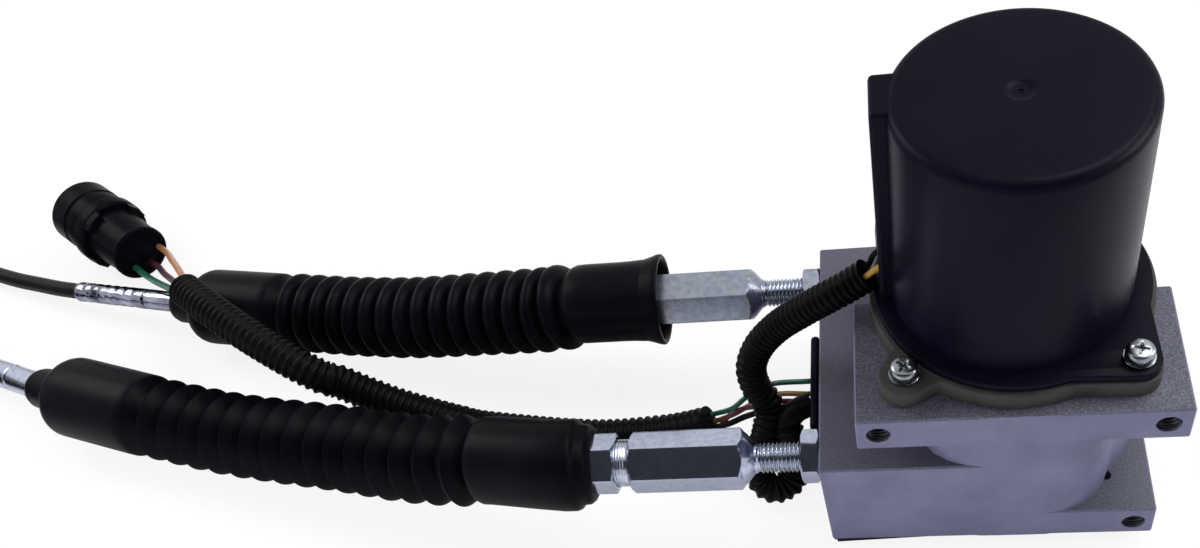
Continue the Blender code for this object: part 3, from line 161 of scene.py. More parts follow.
class FinishShop:
    """Builds each finish as a node material, once."""

    def __init__(self) -> None:
        """Start with no materials made."""
        self.made: dict[str, bpy.types.Material] = {}

    def get(self, finish: Finish) -> bpy.types.Material:
        """Give the material of a finish.

        Args:
            finish: The finish wanted.

        Returns:
            Its material, made on the first call.
        """
        if finish.name not in self.made:
            self.made[finish.name] = self.build(finish)
        return self.made[finish.name]

    def build(self, finish: Finish) -> bpy.types.Material:
        """Make the node tree of a finish.

        Args:
            finish: The finish to make.

        Returns:
            The new material.
        """
        material = bpy.data.materials.new(finish.name)
        material.use_nodes = True
        tree = material.node_tree
        shader = tree.nodes["Principled BSDF"]
        shader.inputs["Metallic"].default_value = finish.metallic
        shader.inputs["Roughness"].default_value = finish.roughness
        shader.inputs["Specular IOR Level"].default_value = finish.specular
        place = tree.nodes.new("ShaderNodeTexCoord").outputs["Object"]
        if finish.pattern is Pattern.TURNED:
            place = self.stretched(tree, place)
        blotches = self.noise(tree, place, finish.blotch, 4.0)
        grain = self.noise(tree, place, finish.grain, 3.0)
        colour = self.ramp(tree, blotches, [(0.3, finish.dark), (0.7, finish.light)])
        bump_source = grain
        # Upward faces get painted glints in their colour; their blasted bump is real.
        if finish.pattern is Pattern.BLASTED:
            colour, bump_source = self.blasted(tree, finish, colour, grain, place)
        # The crinkle bump takes the colour's noise, so the colour's dark patches are painted shade in the
        # hollows and its light patches painted highlight on the crests.
        if finish.pattern is Pattern.CRINKLED:
            bump_source = blotches
        rounded = None
        if finish.edge:
            colour, rounded = self.worn_edges(tree, finish, colour, place)
        tree.links.new(colour, shader.inputs["Base Color"])
        rough = tree.nodes.new("ShaderNodeMapRange")
        rough.inputs["From Min"].default_value = 0.3
        rough.inputs["From Max"].default_value = 0.7
        rough.inputs["To Min"].default_value = max(0.05, finish.roughness - finish.spread)
        rough.inputs["To Max"].default_value = finish.roughness + finish.spread
        tree.links.new(grain, rough.inputs["Value"])
        tree.links.new(rough.outputs["Result"], shader.inputs["Roughness"])
        bump = tree.nodes.new("ShaderNodeBump")
        bump.inputs["Strength"].default_value = 1.0
        bump.inputs["Distance"].default_value = finish.height * MM
        tree.links.new(bump_source, bump.inputs["Height"])
        if rounded:
            tree.links.new(rounded, bump.inputs["Normal"])
        tree.links.new(bump.outputs["Normal"], shader.inputs["Normal"])
        return material

    def worn_edges(self, tree: bpy.types.NodeTree, finish: Finish, colour: bpy.types.NodeSocket,
                   place: bpy.types.NodeSocket) -> tuple[bpy.types.NodeSocket, bpy.types.NodeSocket]:
        """Round the edges in shading and put dark nicks and a light rub along them.

        Args:
            tree: The material's tree.
            finish: The finish, for its edge radius.
            colour: Colour away from the edges.
            place: Object coordinates.

        Returns:
            The colour and the rounded normal.
        """
        rounding = tree.nodes.new("ShaderNodeBevel")
        rounding.samples = 6
        rounding.inputs["Radius"].default_value = finish.edge * MM
        flat = tree.nodes.new("ShaderNodeNewGeometry").outputs["Normal"]
        turn = tree.nodes.new("ShaderNodeVectorMath")
        turn.operation = "DOT_PRODUCT"
        tree.links.new(rounding.outputs["Normal"], turn.inputs[0])
        tree.links.new(flat, turn.inputs[1])
        edge = tree.nodes.new("ShaderNodeMapRange")
        edge.inputs["From Min"].default_value = 0.99
        edge.inputs["From Max"].default_value = 0.85
        tree.links.new(turn.outputs["Value"], edge.inputs["Value"])
        nicks = self.ramp(tree, self.noise(tree, place, 420.0, 3.0), [
            (0.40, (0.012, 0.012, 0.014)), (0.47, (0.10, 0.10, 0.13)), (0.60, (0.24, 0.24, 0.31))])
        mix = tree.nodes.new("ShaderNodeMix")
        mix.data_type = "RGBA"
        tree.links.new(edge.outputs["Result"], mix.inputs["Factor"])
        tree.links.new(colour, mix.inputs["A"])
        tree.links.new(nicks, mix.inputs["B"])
        return mix.outputs["Result"], rounding.outputs["Normal"]

    @staticmethod
    def stretched(tree: bpy.types.NodeTree, place: bpy.types.NodeSocket) -> bpy.types.NodeSocket:
        """Stretch a pattern into fine lines round the vertical axis.

        Args:
            tree: The material's tree.
            place: Object coordinates.

        Returns:
            The stretched coordinates.
        """
        mapping = tree.nodes.new("ShaderNodeMapping")
        mapping.inputs["Scale"].default_value = (0.15, 0.15, 2.0)
        tree.links.new(place, mapping.inputs["Vector"])
        return mapping.outputs["Vector"]

    @staticmethod
    def noise(tree: bpy.types.NodeTree, place: bpy.types.NodeSocket, scale: float,
              detail: float) -> bpy.types.NodeSocket:
        """Add a noise texture.

        Args:
            tree: The material's tree.
            place: Object coordinates.
            scale: Its scale.
            detail: Its detail.

        Returns:
            Its value.
        """
        node = tree.nodes.new("ShaderNodeTexNoise")
        node.inputs["Scale"].default_value = scale
        node.inputs["Detail"].default_value = detail
        tree.links.new(place, node.inputs["Vector"])
        return node.outputs["Fac"]

    @staticmethod
    def ramp(tree: bpy.types.NodeTree, value: bpy.types.NodeSocket,
             stops: Sequence[tuple[float, Colour]]) -> bpy.types.NodeSocket:
        """Turn a value into a colour through stops.

        Args:
            tree: The material's tree.
            value: The value.
            stops: Places from 0 to 1 with the colour at each.

        Returns:
            The colour.
        """
        node = tree.nodes.new("ShaderNodeValToRGB")
        elements = node.color_ramp.elements
        while len(elements) < len(stops):
            elements.new(0.5)
        for element, (at, colour) in zip(elements, stops):
            element.position = at
            element.color = (*colour, 1.0)
        tree.links.new(value, node.inputs["Fac"])
        return node.outputs["Color"]

    def blasted(self, tree: bpy.types.NodeTree, finish: Finish, smooth_colour: bpy.types.NodeSocket,
                grain: bpy.types.NodeSocket, place: bpy.types.NodeSocket,
                ) -> tuple[bpy.types.NodeSocket, bpy.types.NodeSocket]:
        """Give upward faces a blasted skin with painted glints and leave the sides smooth.

        Args:
            tree: The material's tree.
            finish: The finish, for its grain.
            smooth_colour: Colour of the sides.
            grain: Value of the fine noise.
            place: Object coordinates.

        Returns:
            The colour and the height that the shader takes.
        """
        geometry = tree.nodes.new("ShaderNodeNewGeometry")
        split = tree.nodes.new("ShaderNodeSeparateXYZ")
        tree.links.new(geometry.outputs["Normal"], split.inputs["Vector"])
        mask = tree.nodes.new("ShaderNodeMapRange")
        mask.inputs["From Min"].default_value = 0.55
        mask.inputs["From Max"].default_value = 0.85
        tree.links.new(split.outputs["Z"], mask.inputs["Value"])
        # Painted glints: bright and dark specks in the colour of upward faces only, for the sparkle that
        # light from above gives the blasted grain.
        glint_noise = self.noise(tree, place, finish.grain * 2.2, 2.0)
        painted_glints = self.ramp(tree, glint_noise, [(0.28, (0.035, 0.035, 0.048)), (0.50, (0.078, 0.077, 0.108)),
                                             (0.74, (0.19, 0.19, 0.24))])
        colour = tree.nodes.new("ShaderNodeMix")
        colour.data_type = "RGBA"
        tree.links.new(mask.outputs["Result"], colour.inputs["Factor"])
        tree.links.new(smooth_colour, colour.inputs["A"])
        tree.links.new(painted_glints, colour.inputs["B"])
        height = tree.nodes.new("ShaderNodeMath")
        height.operation = "MULTIPLY"
        tree.links.new(grain, height.inputs[0])
        lift = tree.nodes.new("ShaderNodeMapRange")
        lift.inputs["To Min"].default_value = 0.15
        lift.inputs["To Max"].default_value = 1.0
        tree.links.new(mask.outputs["Result"], lift.inputs["Value"])
        tree.links.new(lift.outputs["Result"], height.inputs[1])
        return colour.outputs["Result"], height.outputs["Value"]


class Route:
    """A smooth line through knots, measured along its length."""

    def __init__(self, knots: Sequence[Knot], step: float = 0.4) -> None:
        """Sample the line.

        Args:
            knots: Points that the line passes through, in mm.
            step: Distance between samples.
        """
        self.samples = self.resample(self.curve(knots), step)
        spans = len(self.samples) - 1
        self.step = sum((b - a).length for a, b in zip(self.samples, self.samples[1:])) / spans
        self.length = self.step * spans
        self.sides = self.side_vectors()

    @staticmethod
    def curve(knots: Sequence[Knot]) -> list[Vector]:
        """Points on a smooth curve through the knots.

        Args:
            knots: Points that the curve passes through.

        Returns:
            Twelve points for each stretch between knots, and the last knot.
        """
        inner = [Vector(knot) for knot in knots]
        line = [2 * inner[0] - inner[1]] + inner + [2 * inner[-1] - inner[-2]]
        dense = []
        parts = 12
        for before, start, stop, after in zip(line, line[1:], line[2:], line[3:]):
            for part in range(parts):
                t = part / parts
                dense.append(0.5 * (2 * start + (stop - before) * t
                                    + (2 * before - 5 * start + 4 * stop - after) * t ** 2
                                    + (3 * start - before - 3 * stop + after) * t ** 3))
        return dense + [inner[-1]]

    @staticmethod
    def resample(points: Sequence[Vector], step: float) -> list[Vector]:
        """Points an even distance apart on the same line.

        Args:
            points: Points of the line.
            step: Distance wanted between the new ones.

        Returns:
            The new points, both ends with them.
        """
        lengths = [0.0]
        for a, b in zip(points, points[1:]):
            lengths.append(lengths[-1] + (b - a).length)
        count = max(2, round(lengths[-1] / step))
        even, j = [], 0
        for i in range(count + 1):
            target = lengths[-1] * i / count
            while j < len(lengths) - 2 and lengths[j + 1] < target:
                j += 1
            span = lengths[j + 1] - lengths[j]
            even.append(points[j].lerp(points[j + 1], (target - lengths[j]) / span if span else 0.0))
        return even

    def side_vectors(self) -> list[Vector]:
        """Carry a direction across the line along it without twist.

        Returns:
            The direction at each sample.
        """
        ahead = (self.samples[1] - self.samples[0]).normalized()
        side = ahead.cross(UP)
        side = side.normalized() if side.length > 0.1 else Vector((1, 0, 0))
        sides = []
        for i in range(len(self.samples)):
            ahead = self.heading(i * self.step)
            side = (side - side.dot(ahead) * ahead).normalized()
            sides.append(side)
        return sides

    def heading(self, at: float) -> Vector:
        """Direction of the line.

        Args:
            at: Distance along it.

        Returns:
            The direction there.
        """
        i = min(max(int(at / self.step), 0), len(self.samples) - 1)
        low, high = max(i - 2, 0), min(i + 2, len(self.samples) - 1)
        return (self.samples[high] - self.samples[low]).normalized()

    def point(self, at: float) -> Vector:
        """Point on the line, which runs on straight past its ends.

        Args:
            at: Distance along it.

        Returns:
            The point there.
        """
        if at < 0:
            return self.samples[0] + self.heading(0) * at
        if at > self.length:
            return self.samples[-1] + self.heading(self.length) * (at - self.length)
        i = min(int(at / self.step), len(self.samples) - 2)
        return self.samples[i].lerp(self.samples[i + 1], at / self.step - i)

    def at_x(self, x: float) -> float:
        """Distance along the line where it first passes below this X."""
        return next(i for i, point in enumerate(self.samples) if point.x < x) * self.step

    def ring(self, at: float, radius: Callable[[float], float] | float, count: int) -> list[Vector]:
        """A ring of points round the line.

        Args:
            at: Distance along the line.
            radius: Radius in mm, or a function of the angle that gives it.
            count: Number of points.

        Returns:
            The points in order.
        """
        centre, ahead = self.point(at), self.heading(at)
        side = self.sides[min(max(int(at / self.step), 0), len(self.sides) - 1)]
        above = side.cross(ahead)
        points = []
        for k in range(count):
            angle = 2 * math.pi * k / count
            r = radius(angle) if callable(radius) else radius
            points.append(centre + r * (math.cos(angle) * side + math.sin(angle) * above))
        return points


def linked(name: str, data: bpy.types.ID) -> bpy.types.Object:
    """A new object in the scene's collection.

    Args:
        name: Its name.
        data: Its mesh, curve, lamp or camera.

    Returns:
        The object.
    """
    obj = bpy.data.objects.new(name, data)
    bpy.context.scene.collection.objects.link(obj)
    return obj


class Form:
    """Faces of one piece in millimetres, before it becomes an object."""

    def __init__(self) -> None:
        """Start empty."""
        self.points: list[Vector] = []
        self.faces: list[tuple[list[int], int]] = []

    def loft(self, rings: Sequence[Sequence[Vector]], mat: int = 0, closed: bool = False) -> None:
        """Join rings of points, and cap the two ends unless the last ring meets the first.

        Args:
            rings: Rings with the same number of points.
            mat: Material index.
            closed: Whether the last ring joins the first.
        """
        base = len(self.points)
        count = len(rings[0])
        for ring in rings:
            self.points.extend(ring)
        rows = [[base + i * count + k for k in range(count)] for i in range(len(rings))]
        for row, following in zip(rows, rows[1:] + (rows[:1] if closed else [])):
            for k in range(count):
                n = (k + 1) % count
                self.faces.append(([row[k], row[n], following[n], following[k]], mat))
        if not closed:
            self.faces.append((rows[0][::-1], mat))
            self.faces.append((rows[-1], mat))

    def turned(self, profile: Sequence[Station], origin: Sequence[float], axis: Sequence[float],
               count: int = 64, mat: int = 0, closed: bool = False) -> None:
        """Turn (radius, height) points round an axis.

        Args:
            profile: Points from one end to the other.
            origin: Where height 0 is.
            axis: Direction of the height.
            count: Number of sides.
            mat: Material index.
            closed: Whether the profile's end meets its start.
        """
        turn = UP.rotation_difference(Vector(axis).normalized()).to_matrix()
        start = Vector(origin)
        rings = []
        for radius, height in profile:
            rings.append([start + turn @ Vector((radius * math.cos(a), radius * math.sin(a), height))
                          for a in (2 * math.pi * k / count for k in range(count))])
        self.loft(rings, mat, closed)

    def block(self, low: Sequence[float], high: Sequence[float]) -> None:
        """Add a box.

        Args:
            low: Its corner with the lowest coordinates.
            high: The opposite corner.
        """
        rings = []
        for z in (low[2], high[2]):
            rings.append([Vector((x, y, z)) for x, y in
                          ((low[0], low[1]), (high[0], low[1]), (high[0], high[1]), (low[0], high[1]))])
        self.loft(rings)

    def to_object(self, name: str, finishes: Sequence[Finish], shop: FinishShop, angle: float = 35,
                  bevel: float = 0.0) -> bpy.types.Object:
        """Make the object, with its faces turned outwards.

        Args:
            name: The piece's name.
            finishes: Finishes by material index.
            shop: Where materials come from.
            angle: Edges sharper than this stay sharp, in degrees.
            bevel: Width of a rounding on sharp edges, in mm.

        Returns:
            The new object.
        """
        mesh = bpy.data.meshes.new(name)
        work = bmesh.new()
        verts = [work.verts.new(point * MM) for point in self.points]
        for face, mat in self.faces:
            corners = [verts[i] for i in face]
            made = work.faces.new(corners)
            made.material_index = mat
        bmesh.ops.remove_doubles(work, verts=work.verts, dist=1e-7)
        bmesh.ops.recalc_face_normals(work, faces=work.faces)
        work.to_mesh(mesh)
        work.free()
        mesh.shade_smooth()
        mesh.set_sharp_from_angle(angle=math.radians(angle))
        obj = linked(name, mesh)
        for finish in finishes:
            mesh.materials.append(shop.get(finish))
        if bevel:
            rounding = obj.modifiers.new("edges", "BEVEL")
            rounding.width = bevel * MM
            rounding.segments = 3
            rounding.limit_method = "ANGLE"
            rounding.angle_limit = math.radians(angle)
            rounding.harden_normals = True
        return obj


def evaluated(obj: bpy.types.Object) -> bpy.types.Object:
    """Turn an object and its modifiers into a plain mesh object at the origin.

    Args:
        obj: The object, which is removed.

    Returns:
        The plain object, with the same name.
    """
    bpy.context.view_layer.update()
    graph = bpy.context.evaluated_depsgraph_get()
    mesh = bpy.data.meshes.new_from_object(obj.evaluated_get(graph), preserve_all_data_layers=True,
                                           depsgraph=graph)
    mesh.transform(obj.matrix_world)
    name = obj.name
    bpy.data.objects.remove(obj, do_unlink=True)
    plain = linked(name, mesh)
    mesh.name = name
    return plain


class ShapeTree:
    """A Geometry Nodes tree with named inputs, which ends in Realize Instances and Set Material."""

    def __init__(self, name: str, inputs: dict[str, str]) -> None:
        """Start the tree.

        Args:
            name: Its name.
            inputs: Kind of each named input, such as Float or Int.
        """
        self.group = bpy.data.node_groups.new(name, "GeometryNodeTree")
        face = self.group.interface
        face.new_socket("Geometry", in_out="INPUT", socket_type="NodeSocketGeometry")
        for label, kind in {**inputs, "Material": "Material"}.items():
            face.new_socket(label, in_out="INPUT", socket_type=f"NodeSocket{kind}")
        face.new_socket("Geometry", in_out="OUTPUT", socket_type="NodeSocketGeometry")
        self.given = self.group.nodes.new("NodeGroupInput").outputs

    def add(self, kind: str, inputs: dict | Sequence = (), **settings: object) -> bpy.types.Node:
        """Add a node.

        Args:
            kind: Its type.
            inputs: Values or sockets for its inputs, by name or in order.
            **settings: Its properties.

        Returns:
            The node.
        """
        node = self.group.nodes.new(kind)
        for key, value in settings.items():
            setattr(node, key, value)
        for key, value in (inputs.items() if isinstance(inputs, dict) else enumerate(inputs)):
            if isinstance(value, bpy.types.NodeSocket):
                self.group.links.new(value, node.inputs[key])
            else:
                node.inputs[key].default_value = value
        return node

    def math(self, operation: str, *values: object) -> bpy.types.NodeSocket:
        """Add a Math node and give its result."""
        return self.add("ShaderNodeMath", values, operation=operation).outputs[0]

    def triangle(self, turns: object) -> bpy.types.NodeSocket:
        """A wave of 1 at each whole turn and 0 at each half turn."""
        phase = self.math("FRACT", turns)
        return self.math("ABSOLUTE", self.math("SUBTRACT", self.math("MULTIPLY", phase, 2.0), 1.0))

    def sweep(self, line: bpy.types.NodeSocket, radius: bpy.types.NodeSocket) -> None:
        """Sweep a ring with the given number of sides along a line, and close the tree.

        Args:
            line: The line.
            radius: The ring's radius at each point.
        """
        ring = self.add("GeometryNodeCurvePrimitiveCircle", {"Resolution": self.given["Sides"],
                                                             "Radius": 1.0})
        swept = self.add("GeometryNodeCurveToMesh", {"Curve": line, "Profile Curve": ring.outputs[0],
                                                     "Scale": radius, "Fill Caps": True})
        self.end(swept.outputs[0])

    def end(self, shape: bpy.types.NodeSocket) -> None:
        """Close the tree with smooth shading, real geometry and the material.

        Args:
            shape: The geometry.
        """
        smooth = self.add("GeometryNodeSetShadeSmooth", {"Geometry": shape})
        real = self.add("GeometryNodeRealizeInstances", {"Geometry": smooth.outputs[0]})
        dressed = self.add("GeometryNodeSetMaterial", {"Geometry": real.outputs[0],
                                                       "Material": self.given["Material"]})
        self.add("NodeGroupOutput", {"Geometry": dressed.outputs[0]})

    def grow(self, obj: bpy.types.Object, values: dict[str, object]) -> bpy.types.Object:
        """Run the tree on an object.

        Args:
            obj: The object, which is removed.
            values: Value of each named input.

        Returns:
            The result as a plain mesh object.
        """
        modifier = obj.modifiers.new("shape", "NODES")
        modifier.node_group = self.group
        for item in self.group.interface.items_tree:
            if item.in_out == "INPUT" and item.name in values:
                modifier[item.identifier] = values[item.name]
        return evaluated(obj)


class ShapeTrees:
    """The node trees that this object's ribs, threads, runs and screws are made with."""

    def __init__(self) -> None:
        """Build the four trees."""
        self.run = self.build_run()
        self.loom = self.build_loom()
        self.thread = self.build_thread()
        self.screws = self.build_screws()

    @staticmethod
    def build_run() -> ShapeTree:
        """A tube along a route, whose points carry its radius.

        Returns:
            The tree.
        """
        tree = ShapeTree("run_along_route", {"Sides": "Int"})
        tree.sweep(tree.given["Geometry"], tree.add("GeometryNodeInputRadius").outputs[0])
        return tree

    @staticmethod
    def build_loom() -> ShapeTree:
        """A corrugated tube along a route, whose radius waves with the length along it.

        Returns:
            The tree.
        """
        tree = ShapeTree("corrugated_loom", {"Radius": "Float", "Pitch": "Float", "Depth": "Float",
                                             "Points": "Int", "Sides": "Int"})
        line = tree.add("GeometryNodeResampleCurve", {"Curve": tree.given["Geometry"],
                                                      "Count": tree.given["Points"]})
        along = tree.add("GeometryNodeSplineParameter").outputs["Length"]
        wave = tree.triangle(tree.math("DIVIDE", along, tree.given["Pitch"]))
        crest = tree.add("ShaderNodeMapRange", {"Value": wave, "From Min": 0.1, "From Max": 0.9},
                         interpolation_type="SMOOTHSTEP").outputs["Result"]
        sunk = tree.math("MULTIPLY", tree.math("SUBTRACT", 1.0, crest), tree.given["Depth"])
        tree.sweep(line.outputs[0], tree.math("SUBTRACT", tree.given["Radius"], sunk))
        return tree

    @staticmethod
    def build_thread() -> ShapeTree:
        """A helical thread from height 0 up, which runs out at both ends.

        Returns:
            The tree.
        """
        tree = ShapeTree("helical_thread", {"Length": "Float", "Pitch": "Float", "Crest": "Float",
                                            "Depth": "Float", "Rows": "Int", "Sides": "Int"})
        grid = tree.add("GeometryNodeMeshGrid", {"Size X": 1.0, "Size Y": 1.0,
                                                 "Vertices X": tree.given["Rows"],
                                                 "Vertices Y": tree.given["Sides"]})
        position = tree.add("GeometryNodeInputPosition").outputs[0]
        place = tree.add("ShaderNodeSeparateXYZ", {"Vector": position})
        length, pitch, depth = tree.given["Length"], tree.given["Pitch"], tree.given["Depth"]
        along = tree.math("MULTIPLY", tree.math("ADD", place.outputs["X"], 0.5), length)
        share = tree.math("ADD", place.outputs["Y"], 0.5)
        angle = tree.math("MULTIPLY", share, 2 * math.pi)
        climbed = tree.math("ADD", tree.math("DIVIDE", along, pitch), 1.0)
        wave = tree.triangle(tree.math("SUBTRACT", climbed, share))
        flank = tree.add("ShaderNodeMapRange", {"Value": wave, "From Min": 0.1, "From Max": 0.85})
        from_end = tree.math("MINIMUM", along, tree.math("SUBTRACT", length, along))
        fade = tree.math("MINIMUM", tree.math("DIVIDE", from_end, pitch), 1.0)
        ridge = tree.math("MULTIPLY", tree.math("MULTIPLY", flank.outputs["Result"], fade), depth)
        radius = tree.math("ADD", tree.math("SUBTRACT", tree.given["Crest"], depth), ridge)
        spot = tree.add("ShaderNodeCombineXYZ", {
            "X": tree.math("MULTIPLY", radius, tree.math("COSINE", angle)),
            "Y": tree.math("MULTIPLY", radius, tree.math("SINE", angle)),
            "Z": along})
        wound = tree.add("GeometryNodeSetPosition", {"Geometry": grid.outputs["Mesh"],
                                                     "Position": spot.outputs[0]})
        joint = tree.add("GeometryNodeMergeByDistance", {"Geometry": wound.outputs[0], "Distance": 1e-6})
        tree.end(joint.outputs[0])
        return tree

    @staticmethod
    def build_screws() -> ShapeTree:
        """Copies of one screw on points, each turned by its own angle.

        Returns:
            The tree.
        """
        tree = ShapeTree("screw_set", {"Screw": "Object"})
        screw = tree.add("GeometryNodeObjectInfo", {"Object": tree.given["Screw"]})
        turn = tree.add("GeometryNodeInputNamedAttribute", {"Name": "turn"}, data_type="FLOAT").outputs[0]
        euler = tree.add("ShaderNodeCombineXYZ", {"Z": turn}).outputs[0]
        rotation = tree.add("FunctionNodeEulerToRotation", {"Euler": euler}).outputs[0]
        copies = tree.add("GeometryNodeInstanceOnPoints", {"Points": tree.given["Geometry"],
                                                           "Instance": screw.outputs["Geometry"],
                                                           "Rotation": rotation})
        tree.end(copies.outputs[0])
        return tree


def line_object(name: str, points: Sequence[Vector],
                radii: Sequence[float] | None = None) -> bpy.types.Object:
    """A curve object through points.

    Args:
        name: Its name.
        points: Its points in mm.
        radii: Radius at each point in mm.

    Returns:
        The curve object.
    """
    curve = bpy.data.curves.new(name, "CURVE")
    curve.dimensions = "3D"
    spline = curve.splines.new("POLY")
    spline.points.add(len(points) - 1)
    for i, point in enumerate(points):
        spline.points[i].co = (*(point * MM), 1)
        if radii:
            spline.points[i].radius = radii[i] * MM
    obj = linked(name, curve)
    return obj


def made_solid(obj: bpy.types.Object, angle: float, bore: bool = False) -> bpy.types.Object:
    """Merge doubles, turn the faces outwards and set sharp edges.

    Args:
        obj: The piece.
        angle: Edges sharper than this stay sharp, in degrees.
        bore: Whether it is an open thread whose faces look inwards. Other open ends are closed.

    Returns:
        The same piece.
    """
    work = bmesh.new()
    work.from_mesh(obj.data)
    bmesh.ops.remove_doubles(work, verts=work.verts, dist=1e-7)
    if not bore:
        bmesh.ops.holes_fill(work, edges=work.edges, sides=0)
    bmesh.ops.recalc_face_normals(work, faces=work.faces)
    if bore:
        bmesh.ops.reverse_faces(work, faces=work.faces)
    work.to_mesh(obj.data)
    work.free()
    obj.data.shade_smooth()
    obj.data.set_sharp_from_angle(angle=math.radians(angle))
    return obj


def run_piece(name: str, route: Route, stations: Sequence[Station], finish: Finish, shop: FinishShop,
              trees: ShapeTrees, sides: int) -> bpy.types.Object:
    """A round piece along a route.

    Args:
        name: The piece's name.
        route: Its route.
        stations: Distance along the route with the radius there, in order.
        finish: Its finish.
        shop: Where materials come from.
        trees: The node trees.
        sides: Number of sides.

    Returns:
        The piece.
    """
    line = line_object(name, [route.point(at) for at, _ in stations], [radius for _, radius in stations])
    return made_solid(trees.run.grow(line, {"Sides": sides, "Material": shop.get(finish)}), 50)


def thread_piece(name: str, origin: Vector, axis: Vector, length: float, crest: float, depth: float,
                 pitch: float, finish: Finish, shop: FinishShop, trees: ShapeTrees,
                 bore: bool = False) -> bpy.types.Object:
    """A helical thread in its place.

    Args:
        name: The piece's name.
        origin: Where the thread starts, in mm.
        axis: The way it runs.
        length: Its length.
        crest: Its crest radius.
        depth: Its depth.
        pitch: Its pitch.
        finish: Its finish.
        shop: Where materials come from.
        trees: The node trees.
        bore: Whether it is cut into a bore.

    Returns:
        The piece.
    """
    host = linked(name, bpy.data.meshes.new(name))
    rows_per_turn, sides = 8, 64
    thread = trees.thread.grow(host, {
        "Length": length * MM, "Crest": crest * MM, "Depth": depth * MM, "Pitch": pitch * MM,
        "Rows": round(length / pitch * rows_per_turn) + 1, "Sides": sides + 1, "Material": shop.get(finish)})
    turn = UP.rotation_difference(axis.normalized()).to_matrix().to_4x4()
    thread.data.transform(Matrix.Translation(origin * MM) @ turn)
    return made_solid(thread, 24, bore)


def cut(obj: bpy.types.Object, tool: bpy.types.Object) -> bpy.types.Object:
    """Cut one object out of another.

    Args:
        obj: The body.
        tool: The cutter, which is removed.

    Returns:
        The body as a plain object.
    """
    boolean = obj.modifiers.new("cut", "BOOLEAN")
    boolean.operation = "DIFFERENCE"
    boolean.object = tool
    boolean.solver = "EXACT"
    done = evaluated(obj)
    bpy.data.objects.remove(tool, do_unlink=True)
    return done


def flat_plate(name: str, outlines: Sequence[Sequence[Station]], low: float, high: float, finish: Finish,
               shop: FinishShop, rounding: float = 0.5) -> bpy.types.Object:
    """A plate with rounded edges from closed outlines, of which the later ones are holes.

    Args:
        name: The piece's name.
        outlines: Closed runs of points in X and Y.
        low: Height of the lower face.
        high: Height of the upper face.
        finish: Its finish.
        shop: Where materials come from.
        rounding: Edge radius in mm.

    Returns:
        The plate as a plain mesh object.
    """
    curve = bpy.data.curves.new(name, "CURVE")
    curve.dimensions = "2D"
    curve.fill_mode = "BOTH"
    curve.extrude = ((high - low) / 2 - rounding) * MM
    curve.bevel_depth = rounding * MM
    curve.bevel_resolution = 2
    curve.offset = -rounding * MM
    for outline in outlines:
        spline = curve.splines.new("POLY")
        spline.points.add(len(outline) - 1)
        for point, (x, y) in zip(spline.points, outline):
            point.co = (x * MM, y * MM, 0, 1)
        spline.use_cyclic_u = True
    obj = linked(name, curve)
    obj.location.z = (low + high) / 2 * MM
    plate = evaluated(obj)
    work = bmesh.new()
    work.from_mesh(plate.data)
    bmesh.ops.remove_doubles(work, verts=work.verts, dist=1e-6)
    bmesh.ops.recalc_face_normals(work, faces=work.faces)
    work.to_mesh(plate.data)
    work.free()
    plate.data.shade_smooth()
    plate.data.set_sharp_from_angle(angle=math.radians(40))
    plate.data.materials.clear()
    plate.data.materials.append(shop.get(finish))
    return plate


def circle(radius: float, count: int = 48, centre: Station = (0.0, 0.0)) -> list[Station]:
    """Points round a circle."""
    return [(centre[0] + radius * math.cos(2 * math.pi * i / count),
             centre[1] + radius * math.sin(2 * math.pi * i / count)) for i in range(count)]


def eared_outline(radius: float, ears: Sequence[tuple[float, float, float]]) -> list[Station]:
    """A round outline with ears, each joined by the tangents from a waist circle.

    Args:
        radius: Radius of the round part.
        ears: Angle in degrees, radius and waist radius of each ear.

    Returns:
        The outline's points.
    """
    reach, steps = EAR_OFFSET * math.sqrt(2), 288
    points = []
    for i in range(steps):
        angle = 2 * math.pi * i / steps
        best = radius
        for ear, ear_radius, waist in ears:
            lean = math.acos((waist - ear_radius) / reach)
            meet = math.atan2(ear_radius * math.sin(lean), reach + ear_radius * math.cos(lean))
            off = abs((angle - math.radians(ear) + math.pi) % (2 * math.pi) - math.pi)
            if off < meet:
                round_end = math.sqrt(ear_radius ** 2 - (reach * math.sin(off)) ** 2)
                best = max(best, reach * math.cos(off) + round_end)
            elif off < lean:
                best = max(best, waist / math.cos(lean - off))
        points.append((best * math.cos(angle), best * math.sin(angle)))
    return points


def settle(obj: bpy.types.Object, slot: str, *nodes: str) -> bpy.types.Object:
    """Ride a piece on the root body and hide the CAD nodes that it replaces.

    Args:
        obj: The piece.
        slot: Not used.
        *nodes: CAD nodes that it replaces.

    Returns:
        The piece.
    """
    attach(obj, "root")
    if nodes:
        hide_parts(*nodes)
    LOG.info("piece %s, %d faces", obj.name, len(obj.data.polygons))
    return obj


@dataclass(frozen=True)
class Lamp:
    """A soft square lamp, in metres and watts."""

    name: str
    place: Knot
    target: Knot
    size: float
    power: float
    gloss: bool = True

    def build(self) -> None:
        """Add the lamp, pointed at its target. Polished surfaces show it if gloss is set."""
        data = bpy.data.lights.new(self.name, "AREA")
        data.shape = "SQUARE"
        data.size = self.size
        data.energy = self.power
        lamp = linked(self.name, data)
        lamp.location = self.place
        lamp.visible_glossy = self.gloss
        lamp.rotation_mode = "QUATERNION"
        lamp.rotation_quaternion = (Vector(self.target) - Vector(self.place)).to_track_quat("-Z", "Y")


